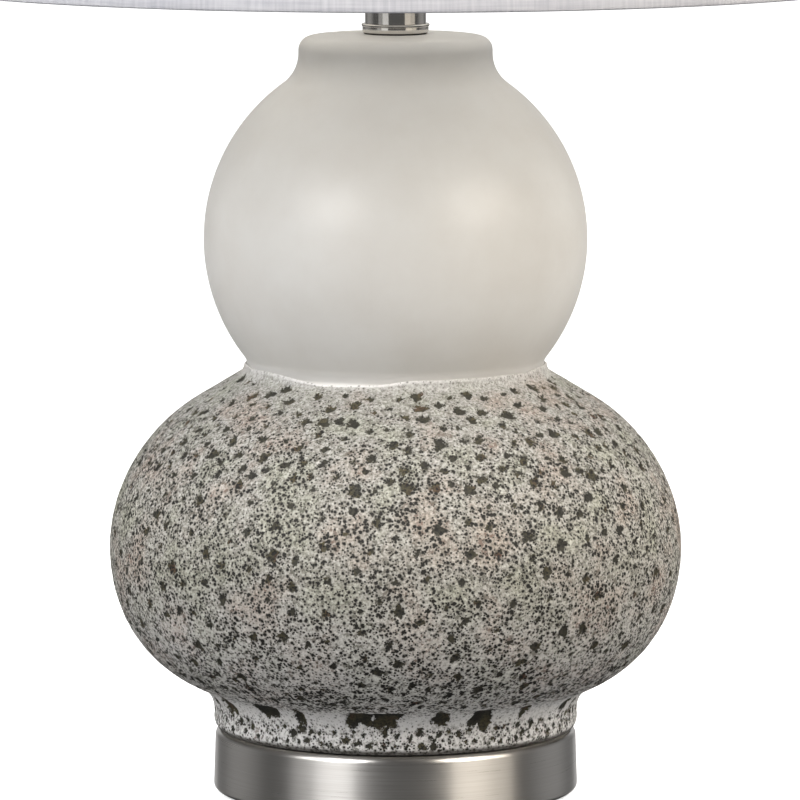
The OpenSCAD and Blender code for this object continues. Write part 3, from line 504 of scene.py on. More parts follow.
class Turning:
    """A turned shape: operators draw its profile beside the axis, then spin it round."""

    def __init__(self, r: float, z: float) -> None:
        """Starts the profile at a radius and a height, in millimetres."""
        self.mesh = bmesh.new()
        self.tip = bmesh.ops.create_vert(self.mesh, co=(r, 0, z))["vert"][0]

    def line(self, *ends: tuple[float, ...]) -> "Turning":
        """Draws straight stretches.

        Args:
            *ends: Radius and height of each one's end, and its number of edges if not one.

        Returns:
            The turning itself.
        """
        for r, z, *edges in ends:
            steps = int(edges[0]) if edges else 1
            start, end = self.tip.co.copy(), Vector((r, 0, z))
            for step in range(1, steps + 1):
                self.tip = bmesh.ops.extrude_vert_indiv(self.mesh, verts=[self.tip])["verts"][0]
                self.tip.co = start.lerp(end, step / steps)
        return self

    def arc(self, centre: tuple[float, float], degrees: float, steps: int) -> "Turning":
        """Draws an arc.

        Args:
            centre: Radius and height of its centre.
            degrees: Its angle, positive from +r towards +z.
            steps: Edges in it.

        Returns:
            The turning itself.
        """
        made = spin(self.mesh, [self.tip], centre, degrees, steps)
        self.tip = next(g for g in made if isinstance(g, bmesh.types.BMVert))
        return self

    def spun(self, segments: int) -> bmesh.types.BMesh:
        """Spins the profile a full turn round the lamp's axis.

        Args:
            segments: Steps in the turn.

        Returns:
            The closed mesh, in millimetres.
        """
        bmesh.ops.spin(
            self.mesh, geom=self.mesh.verts[:] + self.mesh.edges[:], cent=(0, 0, 0), axis=(0, 0, 1),
            dvec=(0, 0, 0), angle=FULL_TURN, steps=segments,
            use_merge=True, use_normal_flip=False, use_duplicate=False)
        bmesh.ops.remove_doubles(self.mesh, verts=self.mesh.verts, dist=1e-4)
        bmesh.ops.recalc_face_normals(self.mesh, faces=self.mesh.faces)
        return self.mesh


def spin(
    mesh: bmesh.types.BMesh, geometry: Sequence[Any], centre: tuple[float, float],
    degrees: float, steps: int,
) -> list[Any]:
    """Spins the end of a profile or wire in the plane y = 0.

    Args:
        mesh: Its mesh.
        geometry: The vertex or the edges at its end.
        centre: x and z of the turn's centre.
        degrees: Its angle, positive from +x towards +z.
        steps: Steps in it.

    Returns:
        The geometry at the new end.
    """
    return bmesh.ops.spin(
        mesh, geom=geometry, cent=(centre[0], 0, centre[1]), axis=(0, -1, 0), dvec=(0, 0, 0),
        angle=math.radians(degrees), steps=steps,
        use_merge=False, use_normal_flip=False, use_duplicate=False)["geom_last"]


def polar(centre: tuple[float, float], radius: float, degrees: float) -> tuple[float, float]:
    """Returns the point at an angle on a circle."""
    turn = math.radians(degrees)
    return centre[0] + radius * math.cos(turn), centre[1] + radius * math.sin(turn)


def soften(mesh: bmesh.types.BMesh, crease: float = CREASE) -> None:
    """Shades a mesh smooth, apart from its sharp edges.

    Args:
        mesh: The mesh.
        crease: Bend of an edge that stays sharp, in degrees.
    """
    for face in mesh.faces:
        face.smooth = True
    for edge in mesh.edges:
        edge.smooth = edge.calc_face_angle(0.0) < math.radians(crease)


def in_scene(name: str, content: bmesh.types.BMesh | bpy.types.ID) -> bpy.types.Object:
    """Puts a mesh, a light or a camera in the scene.

    Args:
        name: Name of its object.
        content: Its data, or a mesh under construction, which is freed.

    Returns:
        The object, at the origin.
    """
    if isinstance(content, bmesh.types.BMesh):
        data = bpy.data.meshes.new(name)
        content.to_mesh(data)
        content.free()
        content = data
    made = bpy.data.objects.new(name, content)
    bpy.context.scene.collection.objects.link(made)
    return made


def add_piece(
    mesh: bmesh.types.BMesh,
    name: str,
    finish: Finish,
    body: str,
    replaced: Sequence[str],
    crease: float = CREASE,
) -> bpy.types.Object:
    """Turns a mesh in millimetres into a piece of the lamp.

    Args:
        mesh: The shape, which is freed.
        name: Name of the piece.
        finish: What it is made of.
        body: Body that it rides on.
        replaced: Solid nodes that it stands for.
        crease: Bend of an edge that stays sharp, in degrees.

    Returns:
        The piece's object.
    """
    bmesh.ops.scale(mesh, vec=(MM, MM, MM), verts=mesh.verts)
    soften(mesh, crease)
    piece = in_scene(name, mesh)
    piece.data.materials.append(finish.material())
    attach(piece, body)
    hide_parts(*replaced)
    log.info("%s: %d faces", name, len(piece.data.polygons))
    return piece


def copy_of_node(node: str, finish: Finish, play: float = 1.0) -> None:
    """Makes a smooth-shaded piece from a solid node whose shape is already right.

    Args:
        node: Name of the solid node, which the piece stands for.
        finish: What it is made of.
        play: How much it is shrunk about its middle, to turn freely in what holds it.
    """
    solid = frame["nodes"][node]
    mesh = bmesh.new()
    mesh.from_mesh(solid.data)
    bmesh.ops.scale(mesh, vec=(1 / MM, 1 / MM, 1 / MM), verts=mesh.verts)
    bmesh.ops.remove_doubles(mesh, verts=mesh.verts, dist=0.002)
    bmesh.ops.dissolve_degenerate(mesh, edges=mesh.edges, dist=0.001)
    bmesh.ops.recalc_face_normals(mesh, faces=mesh.faces)
    if play < 1:
        middle = Matrix.Translation(-sum(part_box(node), Vector()) / (2 * MM))
        bmesh.ops.scale(mesh, vec=(play, play, play), verts=mesh.verts, space=middle)
    add_piece(mesh, node + "_finished", finish, solid["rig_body"], (node,))


def dress_node(node: str, finish: Finish) -> None:
    """Gives a solid node that stays in view its own finish.

    Args:
        node: Name of the solid node.
        finish: What it is made of.
    """
    for place in frame["nodes"][node].material_slots:
        place.material = finish.material()
    log.info("%s: finished as %s", node, finish.name)


# ----------------------------------------------------------------- the lamp


@dataclass
class Base:
    """The spun drum under the ceramic, with what it hides."""

    bottom: float = 1.2
    top: float = 28.4
    radius: float = 82.2
    top_radius: float = 81.5
    rim: float = 2.2
    edge: float = 3.0
    wall: float = 1.2
    flange: float = 9.0
    bore: float = 5.2
    felt_radius: float = 77.2
    felt_round: float = 0.5
    felt_bevel: float = 0.3
    inlet_radius: float = 4.55
    inlet_height: float = 9.8
    drill_length: float = 12.0

    def build(self) -> None:
        """Builds the drum and the felt, and dresses the parts inside."""
        self.drum()
        self.felt()
        dress_node("base_weight", CAST_IRON)
        for node in ("base_washer", "base_nut", "centre_rod"):
            dress_node(node, ZINC)
        copy_of_node("cord_bushing", NYLON)

    def drum(self) -> None:
        """Turns the drum's sheet metal wall, flange and top."""
        low, high = self.bottom + self.rim, self.top - self.edge
        rim_in, edge_in = self.radius - self.rim, self.top_radius - self.edge
        flange, under = self.radius - self.flange, self.top - self.wall
        shape = Turning(flange, self.bottom)
        shape.line((rim_in, self.bottom)).arc((rim_in, low), 90, 8)
        shape.line((self.top_radius, high, 4)).arc((edge_in, high), 90, 10)
        shape.line((self.bore, self.top, 6), (self.bore, under), (edge_in, under, 3))
        shape.arc((edge_in, high), -90, 6)
        shape.line((self.radius - self.wall, low, 2)).arc((rim_in, low), -90, 5)
        shape.line((flange, self.bottom + self.wall), (flange, self.bottom))
        self.inlet(add_piece(shape.spun(256), "drum_shell", BRUSHED_NICKEL, "root", ("base_drum",)))

    def inlet(self, drum: bpy.types.Object) -> None:
        """Cuts the lead's hole through the back of the drum's wall.

        Args:
            drum: The drum, whose mesh is replaced.
        """
        mesh = bmesh.new()
        bmesh.ops.create_cone(
            mesh, cap_ends=True, segments=48, radius1=self.inlet_radius * MM,
            radius2=self.inlet_radius * MM, depth=self.drill_length * MM,
            matrix=Matrix.Translation((0, self.radius * MM, self.inlet_height * MM))
            @ Matrix.Rotation(math.pi / 2, 4, "X"))
        drill = in_scene("drill", mesh)
        cut = drum.modifiers.new("inlet", "BOOLEAN")
        cut.operation, cut.solver, cut.object = "DIFFERENCE", "EXACT", drill
        graph = bpy.context.evaluated_depsgraph_get()
        holed = bpy.data.meshes.new_from_object(drum.evaluated_get(graph))
        drum.modifiers.clear()
        drum.data = holed
        bpy.data.objects.remove(drill)
        mesh = bmesh.new()
        mesh.from_mesh(holed)
        soften(mesh)
        mesh.to_mesh(holed)
        mesh.free()

    def felt(self) -> None:
        """Turns the felt pad, its cut edge slightly rounded."""
        outer, top, bevel = self.felt_radius, self.bottom, self.felt_bevel
        shape = Turning(0, 0).line((outer - self.felt_round, 0, 8))
        shape.arc((outer - self.felt_round, self.felt_round), 90, 3)
        shape.line((outer, top - bevel), (outer - bevel, top), (0, top, 8))
        add_piece(shape.spun(160), "felt_pad", FELT, "root", ("base_felt",))


@dataclass(frozen=True)
class PitZone:
    """A band of the coat and the wide pits drawn in it, in millimetres."""

    low: float
    high: float
    tries: int
    apart: float
    least: float
    most: float
    depth: float


@dataclass(frozen=True)
class Pit:
    """A wide pit: the vertex at its middle, and its half width, half height and depth."""

    vertex: int
    wide: float
    tall: float
    depth: float
    # 2 makes an oval, and 3 a rounded window
    power: int = 2


@dataclass
class CeramicBody:
    """The double gourd and its cratered coat. Arc centres are (radius, height)."""

    foot_ring: float = 70.7
    foot: float = 29.2
    foot_radius: float = 80.7
    foot_edge: float = 4.4
    foot_hollow: tuple[float, float] = (95.2, 37.3189)
    under: tuple[float, float] = (66.6979, 106.151)
    side: tuple[float, float] = (54.2, 110.7)
    side_r: float = 73.3
    shoulder: tuple[float, float] = (47.9041, 108.408)
    waist: tuple[float, float] = (72.9831, 193.903)
    waist_r: float = 6.2
    upper_under: tuple[float, float] = (0.0939693, 250.366)
    upper: tuple[float, float] = (0.0, 250.4)
    upper_r: float = 86.1
    neck: tuple[float, float] = (60.3, 333.781)
    rim: tuple[float, float] = (37.4, 335.281)
    rim_r: float = 6.1
    dome_radius: float = 15.85
    dome: float = 342.381
    hole: float = 6.5
    wall: float = 5.0
    seam: float = 193.003
    coat: float = 1.3
    # How far the coat reaches round the foot's edge, in degrees
    coat_start: float = 46.0
    side_angle: float = 20.0
    shoulder_slope: float = 31.0
    # Radius, height and edges of each stretch of the hollow inside the neck
    neck_hollow: tuple[tuple[float, ...], ...] = ((30.4, 336.2, 3), (38.5, 329.0, 2))
    # The hollow inside the upper bulb runs between these angles above and below its middle
    hollow_top: float = 62.0
    hollow_bottom: float = 36.0
    # The same as for the neck, inside the lower bulb
    hollow: tuple[tuple[float, ...], ...] = (
        (62.5, 194.0), (72.0, 185.0, 2), (99.0, 167.0, 4), (117.0, 138.0, 5), (122.5, 112.0, 4),
        (117.0, 84.0, 4), (98.0, 58.0, 4), (78.0, 46.0, 3), (72.0, 37.2, 2))
    floor: float = 37.2
    floor_under: float = 32.2
    # Seals: name, node, bore, bottom and top
    seals: tuple[tuple[str, str, float, float, float], ...] = (
        ("foot_seal", "foot_gasket", 71.2, 28.4, 29.2),
        ("collar_cushion", "collar_seal", 6.6, 342.381, 342.981))
    zones: tuple[PitZone, ...] = (
        PitZone(low=152, high=189.2, tries=3200, apart=6.9, least=1.5, most=3.1, depth=0.75),
        PitZone(low=66, high=152, tries=2400, apart=9.2, least=1.3, most=2.9, depth=0.6),
        PitZone(low=52.5, high=66, tries=1600, apart=5.2, least=1.1, most=2.6, depth=0.5),
        PitZone(low=32.5, high=40.5, tries=1100, apart=3.9, least=1.0, most=2.1, depth=0.5))
    # How tall a pit is for its width, and the power that makes most pits small
    pit_tall: tuple[float, float] = (0.75, 1.15)
    pit_bias: float = 1.6
    pit_slope: float = 0.9
    pit_rim: float = 0.14
    crust_relief: float = 0.12
    crust_grain: float = 4.5
    # Windows round the foot: their number and radius, how far each strays from its place, and
    # the least and greatest height of the middle, half width and half height
    windows: int = 24
    window_r: float = 84.0
    window_stray: float = 0.3
    window_z: tuple[float, float] = (46.0, 50.0)
    window_wide: tuple[float, float] = (2.6, 6.4)
    window_tall: tuple[float, float] = (4.4, 6.6)
    window_depth: float = 0.95
    # Height of the lip, and where the crust begins to whiten below it
    lip: float = 192.55
    whitening: float = 188.5
    lip_rise: float = 0.7
    # The lip sags most this far round from the front, in radians
    sag: float = -0.36
    sag_depth: float = 2.4
    # Ripples of the lip: how many in a turn, height, and phase in radians
    ripples: tuple[tuple[int, float, float], ...] = ((5, 0.2, 1.1), (9, 0.2, 2.0), (17, 0.14, 0.3))
    seed: int = 20

    def build(self) -> None:
        """Builds the casting, its coat and the two seals."""
        self.casting()
        self.cratered_coat()
        for name, node, bore, low, high in self.seals:
            outer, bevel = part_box(node)[1].x / MM, 0.2
            shape = Turning(bore, low).line(
                (outer - bevel, low), (outer, low + bevel), (outer, high - bevel),
                (outer - bevel, high), (bore, high), (bore, low))
            add_piece(shape.spun(128), name, RUBBER, "root", (node,))

    def bearing(self, start: tuple[float, float], end: tuple[float, float]) -> float:
        """Returns the direction from one centre to another, in degrees."""
        return math.degrees(math.atan2(end[1] - start[1], end[0] - start[0]))

    def bulb_arcs(self) -> list[tuple[tuple[float, float], float]]:
        """Returns the centres and angles of the lower bulb's arcs, from the foot up."""
        foot_end = self.bearing(self.foot_hollow, self.under)
        return [
            (self.foot_hollow, foot_end - 180),
            (self.under, 180 - foot_end - self.side_angle),
            (self.side, 2 * self.side_angle),
            (self.shoulder, 90 - self.shoulder_slope - self.side_angle),
        ]

    def lower_half(self, shape: Turning, offset: float, steps: Sequence[int]) -> None:
        """Draws the profile from the foot's edge to the waist.

        Args:
            shape: Turning whose last point is on the foot's edge.
            offset: Distance outside the bare ceramic.
            steps: Edges in the foot's straight, in the slope and in each of the arcs.
        """
        straight, slope, *bends = steps
        shape.line((self.foot_radius + offset, self.foot_hollow[1], straight))
        for (centre, degrees), count in zip(self.bulb_arcs(), bends):
            shape.arc(centre, degrees, count)
        # A straight slope leads from the shoulder into the waist's hollow
        slope_end = polar(self.waist, self.waist_r - offset, 270 - self.shoulder_slope)
        shape.line((*slope_end, slope))

    def casting(self) -> None:
        """Turns the gourd in one piece, hollow, from the foot ring to the hole at the top."""
        edge_r = self.foot_radius - self.foot_edge
        shape = Turning(self.foot_ring, self.foot).line((edge_r, self.foot))
        shape.arc((edge_r, self.foot + self.foot_edge), 90, 6)
        self.lower_half(shape, 0.0, (1, 4, 10, 20, 16, 18))
        above = self.bearing(self.waist, self.upper_under)
        shape.arc(self.waist, above - (270 - self.shoulder_slope), 10)
        shape.arc(self.upper_under, 180 - self.side_angle - above, 24)
        turn = self.bearing(self.upper, self.neck)
        shape.arc(self.upper, turn + self.side_angle, 44).arc(self.neck, -turn, 12)
        shape.line((self.rim[0] + self.rim_r, self.rim[1])).arc(self.rim, 90, 12)
        shape.line((self.dome_radius, self.dome, 4), (self.hole, self.dome, 2))
        # Inside: a wall further in at the top and the neck, then the two bulbs' hollows
        hollow_r = self.upper_r - self.wall
        shape.line(
            (self.hole, self.dome - self.wall, 2), *self.neck_hollow,
            polar(self.upper, hollow_r, self.hollow_top))
        shape.arc(self.upper, -self.hollow_top - self.hollow_bottom, 26).line(*self.hollow)
        shape.line(
            (self.hole, self.floor, 4), (self.hole, self.floor_under),
            (self.foot_ring, self.floor_under, 3), (self.foot_ring, self.foot))
        nodes = ("ceramic_lower", "ceramic_upper")
        add_piece(shape.spun(192), "gourd_casting", GLAZE, "root", nodes)

    def cratered_coat(self) -> None:
        """Turns the coat as one closed shell, then opens its pits and waves its lip."""
        edge = (self.foot_radius - self.foot_edge, self.foot + self.foot_edge)
        start = polar(edge, self.foot_edge + self.coat, -self.coat_start)
        shape = Turning(*start).arc(edge, self.coat_start, 4)
        self.lower_half(shape, self.coat, (3, 14, 12, 32, 32, 34))
        drop = self.waist[1] - self.seam
        lip = math.degrees(math.asin(drop / (self.waist_r - self.coat)))
        shape.arc(self.waist, lip - 90 + self.shoulder_slope, 5)
        inside = self.waist[0] - math.sqrt(self.waist_r ** 2 - drop ** 2)
        shape.arc(((shape.tip.co.x + inside) / 2, self.seam), 180, 6)
        # The inner face lies on the ceramic and runs back down to the foot
        low = math.degrees(math.asin(drop / self.waist_r))
        shape.arc(self.waist, 90 - self.shoulder_slope - low, 3)
        slope_r = math.dist(self.shoulder, polar(self.side, self.side_r, self.side_angle))
        shape.line((*polar(self.shoulder, slope_r, 90 - self.shoulder_slope), 2))
        for (centre, degrees), count in zip(reversed(self.bulb_arcs()), (6, 5, 6, 4)):
            shape.arc(centre, -degrees, count)
        shape.line((self.foot_radius, edge[1])).arc(edge, -self.coat_start, 2).line(start)
        mesh = shape.spun(580)
        edges, lip_whiteness_and_highlight = self.open_pits(mesh)
        piece = add_piece(mesh, "cratered_crust", CRATERS, "root", ("cratered_coat",), crease=60)
        for name, values in (("pit_edge", edges), ("lip_edge", lip_whiteness_and_highlight)):
            attribute = piece.data.attributes.new(name, "FLOAT", "POINT")
            attribute.data.foreach_set("value", values.astype(np.float32))

    def pit_places(self, at: np.ndarray, outer: np.ndarray) -> list[Pit]:
        """Draws where the wide pits are and how large.

        Args:
            at: Vertex positions, in millimetres.
            outer: Indices of the vertices on the outer face.

        Returns:
            The pits.
        """
        dice = np.random.default_rng(self.seed)
        radius = np.hypot(at[outer, 0], at[outer, 1])
        pits: list[Pit] = []
        for zone in self.zones:
            inside = np.flatnonzero((at[outer, 2] > zone.low) & (at[outer, 2] < zone.high))
            share = radius[inside] / radius[inside].sum()
            for choice in dice.choice(inside, size=zone.tries, p=share):
                vertex = int(outer[choice])
                taken = at[[pit.vertex for pit in pits]]
                if pits and np.min(np.linalg.norm(taken - at[vertex], axis=1)) < zone.apart:
                    continue
                wide = zone.least + (zone.most - zone.least) * dice.random() ** self.pit_bias
                pits.append(Pit(vertex, wide, wide * dice.uniform(*self.pit_tall), zone.depth))
        # Windows of bare clay round the foot, between smooth runs of glaze
        for step in range(self.windows):
            stray = dice.uniform(-self.window_stray, self.window_stray)
            x, y = polar((0, 0), self.window_r, 360 * (step + stray) / self.windows)
            target = (x, y, dice.uniform(*self.window_z))
            nearest = int(outer[np.argmin(np.linalg.norm(at[outer] - target, axis=1))])
            pits.append(Pit(
                nearest, dice.uniform(*self.window_wide), dice.uniform(*self.window_tall),
                self.window_depth, power=3))
        return pits

    def open_pits(self, mesh: bmesh.types.BMesh) -> tuple[np.ndarray, np.ndarray]:
        """Pushes the pits into the coat's outer face and waves its lip.

        Args:
            mesh: The coat, in millimetres, whose vertices are moved.

        Returns:
            For each vertex, the distance to the nearest pit's edge, negative inside a pit, and
            how whitish the glaze is at the lip, with the highlight painted on it, from 0 to 1.
        """
        mesh.verts.ensure_lookup_table()
        mesh.normal_update()
        at = np.array([vert.co for vert in mesh.verts])
        normal = np.array([vert.normal for vert in mesh.verts])
        out = at[:, :2] / np.linalg.norm(at[:, :2], axis=1)[:, None]
        outer = np.flatnonzero((normal[:, :2] * out).sum(axis=1) > 0.1)
        tree = kdtree.KDTree(len(outer))
        for index in outer:
            tree.insert(at[index], int(index))
        tree.balance()
        edges = np.full(len(at), 3.0)
        sink = np.zeros(len(at))
        dice = np.random.default_rng(self.seed + 1)
        for pit in self.pit_places(at, outer):
            middle, facing = at[pit.vertex], normal[pit.vertex]
            found = tree.find_range(middle, max(pit.wide, pit.tall) * 1.5 + 3)
            near = np.array([place[1] for place in found])
            along = np.cross((0, 0, 1.0), facing)
            along /= np.linalg.norm(along)
            up = np.cross(facing, along)
            gap = at[near] - middle
            flat = np.stack((gap @ along / pit.wide, gap @ up / pit.tall), axis=1)
            angle = np.arctan2(flat[:, 1], flat[:, 0])
            # An uneven star outline: lobes of the second to fifth order
            uneven = 0.13 if pit.power == 2 else 0.11
            lobes = sum(
                uneven * np.cos(order * angle + dice.uniform(0, FULL_TURN))
                for order in (2, 3, 4, 5))
            reach = (np.abs(flat) ** pit.power).sum(axis=1) ** (1 / pit.power)
            distance = (reach - 1 - lobes) * min(pit.wide, pit.tall)
            edges[near] = np.minimum(edges[near], distance)
            push = pit.depth * np.clip(0.5 - distance / self.pit_slope, 0, 1)
            # A faint rim stands round each pit
            rise = self.pit_rim * np.exp(-((distance - 0.7) / 0.5) ** 2)
            sink[near] = np.maximum(sink[near], push - rise)
        # The crust between the pits is uneven by a tenth of a millimetre or two
        rough = [noise.fractal(Vector(at[i]) / self.crust_grain, 1.0, 2.0, 3) for i in outer]
        sink[outer] -= self.crust_relief * np.array(rough)
        at[outer] -= normal[outer] * sink[outer, None]
        lip_whiteness_and_highlight = self.wave_lip(at)
        for vert, place in zip(mesh.verts, at):
            vert.co = place
        return edges, lip_whiteness_and_highlight

    def wave_lip(self, at: np.ndarray) -> np.ndarray:
        """Waves the coat's lip, which sags by 2 mm where the coat was dipped unevenly.

        The lip slides round the hollow of the waist, so the coat keeps its thickness.

        Args:
            at: Vertex positions, in millimetres, which are changed.

        Returns:
            For each vertex, how whitish the glaze is, with the highlight painted on the lip, from 0
            to 1.
        """
        across = np.hypot(at[:, 0], at[:, 1]) - self.waist[0]
        above = at[:, 2] - self.waist[1]
        front = np.arctan2(at[:, 0], -at[:, 1])
        # The crust whitens over the last 4 mm below the lip. On the lip itself a highlight is
        # painted, brightest on the front-left where the lip sags
        on_lip = np.clip((at[:, 2] - self.lip) / 0.4, 0, 1)
        lip_whiteness_and_highlight = 0.2 * np.clip((at[:, 2] - self.whitening) / 2.5, 0, 1)
        lip_whiteness_and_highlight += on_lip * (0.15 + 0.5 * np.exp(-((front - self.sag) / 0.6) ** 2))
        # Only what lies in the hollow of the waist slides, the more the nearer it is to the lip
        bearing = np.degrees(np.arctan2(-above, -across))
        share = np.clip((90 - self.shoulder_slope - bearing) / 52, 0, 1)
        share = share * (above > -8) * (across < 0)
        wave = self.lip_rise - self.sag_depth * np.exp(-((front - self.sag) / 0.42) ** 4) + sum(
            size * np.sin(order * front + phase) for order, size, phase in self.ripples)
        slide = -share * share * (3 - 2 * share) * wave / (self.waist_r - self.coat / 2)
        turned = across * np.cos(slide) - above * np.sin(slide) + self.waist[0]
        at[:, 2] = across * np.sin(slide) + above * np.cos(slide) + self.waist[1]
        at[:, 0], at[:, 1] = turned * np.sin(front), -turned * np.cos(front)
        return lip_whiteness_and_highlight


@dataclass
class Neck:
    """The nickel collar, tube and cap over the ceramic, and the nuts on the rod."""

    collar: float = 342.981
    collar_top: float = 346.981
    collar_radius: float = 14.85
    lip_radius: float = 15.25
    tube_radius: float = 13.7
    tube: float = 344.081
    tube_top: float = 376.081
    tube_wall: float = 1.0
    tube_play: float = 0.05
    rod_hole: float = 5.2
    foot_round: float = 0.6
    # The collar widens to its lip over a quarter of a millimetre
    lip_height: float = 1.0
    lip_slope: float = 0.25
    lip_round: float = 0.4

    def build(self) -> None:
        """Turns the collar, its raised lip rounded, and the tube, and finishes the rest."""
        foot, lip = self.collar_radius - self.foot_round, self.lip_radius
        bore, lip_foot = self.tube_radius + self.tube_play, self.collar_top - self.lip_height
        lip_edge = self.collar_top - self.lip_round
        shape = Turning(self.rod_hole, self.collar).line((foot, self.collar))
        shape.arc((foot, self.collar + self.foot_round), 90, 5).line(
            (self.collar_radius, lip_foot - self.lip_slope), (lip, lip_foot), (lip, lip_edge))
        shape.arc((lip - self.lip_round, lip_edge), 90, 4).line(
            (bore, self.collar_top), (bore, self.tube), (self.rod_hole, self.tube),
            (self.rod_hole, self.collar))
        add_piece(shape.spun(128), "collar_ring", POLISHED_NICKEL, "root", ("neck_collar",))
        inner = self.tube_radius - self.tube_wall
        shape = Turning(self.tube_radius, self.tube).line(
            (self.tube_radius, self.tube_top, 4), (inner, self.tube_top), (inner, self.tube, 4),
            (self.tube_radius, self.tube))
        add_piece(shape.spun(128), "neck_sleeve", POLISHED_NICKEL, "root", ("neck_tube",))
        for node, finish in (
            ("tube_cap", POLISHED_NICKEL), ("neck_nut", ZINC), ("harp_saddle", TURNED_NICKEL)):
            copy_of_node(node, finish)


class Sides(Enum):
    """The two legs of the harp, by the sign of their x."""

    LEFT = -1
    RIGHT = 1


@dataclass
class Harp:
    """The wire loop that carries the shade. Bend centres are (x, height)."""

    wire: float = 1.6
    foot: tuple[float, float] = (27.0, 406.081)
    leg: float = 20.0
    bend_r: float = 40.0
    bend: float = 35.0
    slant: float = 27.079
    side: float = 42.547
    side_r: float = 120.0
    side_bend: float = 30.0
    crown: tuple[float, float] = (7.0, 577.11)
    crown_bend: float = 60.0

    def build(self) -> None:
        """Builds the wire and finishes the stud and the sleeves."""
        self.loop()
        copy_of_node("harp_stud", TURNED_NICKEL)
        for side in Sides:
            copy_of_node(f"harp_sleeve_{side.name.lower()}", TURNED_NICKEL)

    def loop(self) -> None:
        """Sweeps half of the wire by extruding and spinning its cut end, then mirrors it."""
        mesh = bmesh.new()
        bmesh.ops.create_circle(
            mesh, segments=20, radius=self.wire, cap_ends=False,
            matrix=Matrix.Translation((self.foot[0], 0, self.foot[1])))
        end, heading = mesh.edges[:], 90.0
        # For each bend: the straight before it and its steps, the bend's radius, positive where
        # its centre lies on the outer side, and its turn
        for length, steps, radius, turn in (
            (self.leg, 4, self.bend_r, -self.bend), (self.slant, 4, -self.bend_r, self.bend),
            (self.side, 5, -self.side_r, self.side_bend), (0.0, 0, 0.0, self.crown_bend),
        ):
            end = self.straight(mesh, end, length, heading, steps)
            points = [vert.co for edge in end for vert in edge.verts]
            middle = sum(points, Vector()) / len(points)
            centre = polar((middle.x, middle.z), radius, heading - 90) if radius else self.crown
            # A step is 3 degrees
            made = spin(mesh, end, centre, turn, round(abs(turn) / 3))
            end = [g for g in made if isinstance(g, bmesh.types.BMEdge)]
            heading += turn
        self.straight(mesh, end, self.crown[0], heading, 2)
        half = mesh.verts[:] + mesh.edges[:] + mesh.faces[:]
        bmesh.ops.mirror(mesh, geom=half, axis="X", merge_dist=0.01)
        bmesh.ops.remove_doubles(mesh, verts=mesh.verts, dist=0.01)
        bmesh.ops.holes_fill(mesh, edges=[edge for edge in mesh.edges if edge.is_boundary])
        bmesh.ops.recalc_face_normals(mesh, faces=mesh.faces)
        add_piece(mesh, "harp_loop", NICKEL_WIRE, "harp", ("harp_wire",))

    def straight(
        self, mesh: bmesh.types.BMesh, ring: list[bmesh.types.BMEdge], length: float,
        heading: float, steps: int,
    ) -> list[bmesh.types.BMEdge]:
        """Extrudes the wire's end in a straight line.

        Args:
            mesh: Mesh of the wire.
            ring: Edges of its open end.
            length: Length to add.
            heading: Direction in the harp's plane, in degrees above +x.
            steps: Rings in it.

        Returns:
            Edges of the new open end.
        """
        turn = math.radians(heading)
        way = Vector((math.cos(turn), 0, math.sin(turn)))
        for _ in range(steps):
            made = bmesh.ops.extrude_edge_only(mesh, edges=ring)["geom"]
            new = {g for g in made if isinstance(g, bmesh.types.BMVert)}
            bmesh.ops.translate(mesh, vec=length / steps * way, verts=list(new))
            ring = [g for g in made if isinstance(g, bmesh.types.BMEdge) and set(g.verts) <= new]
        return ring


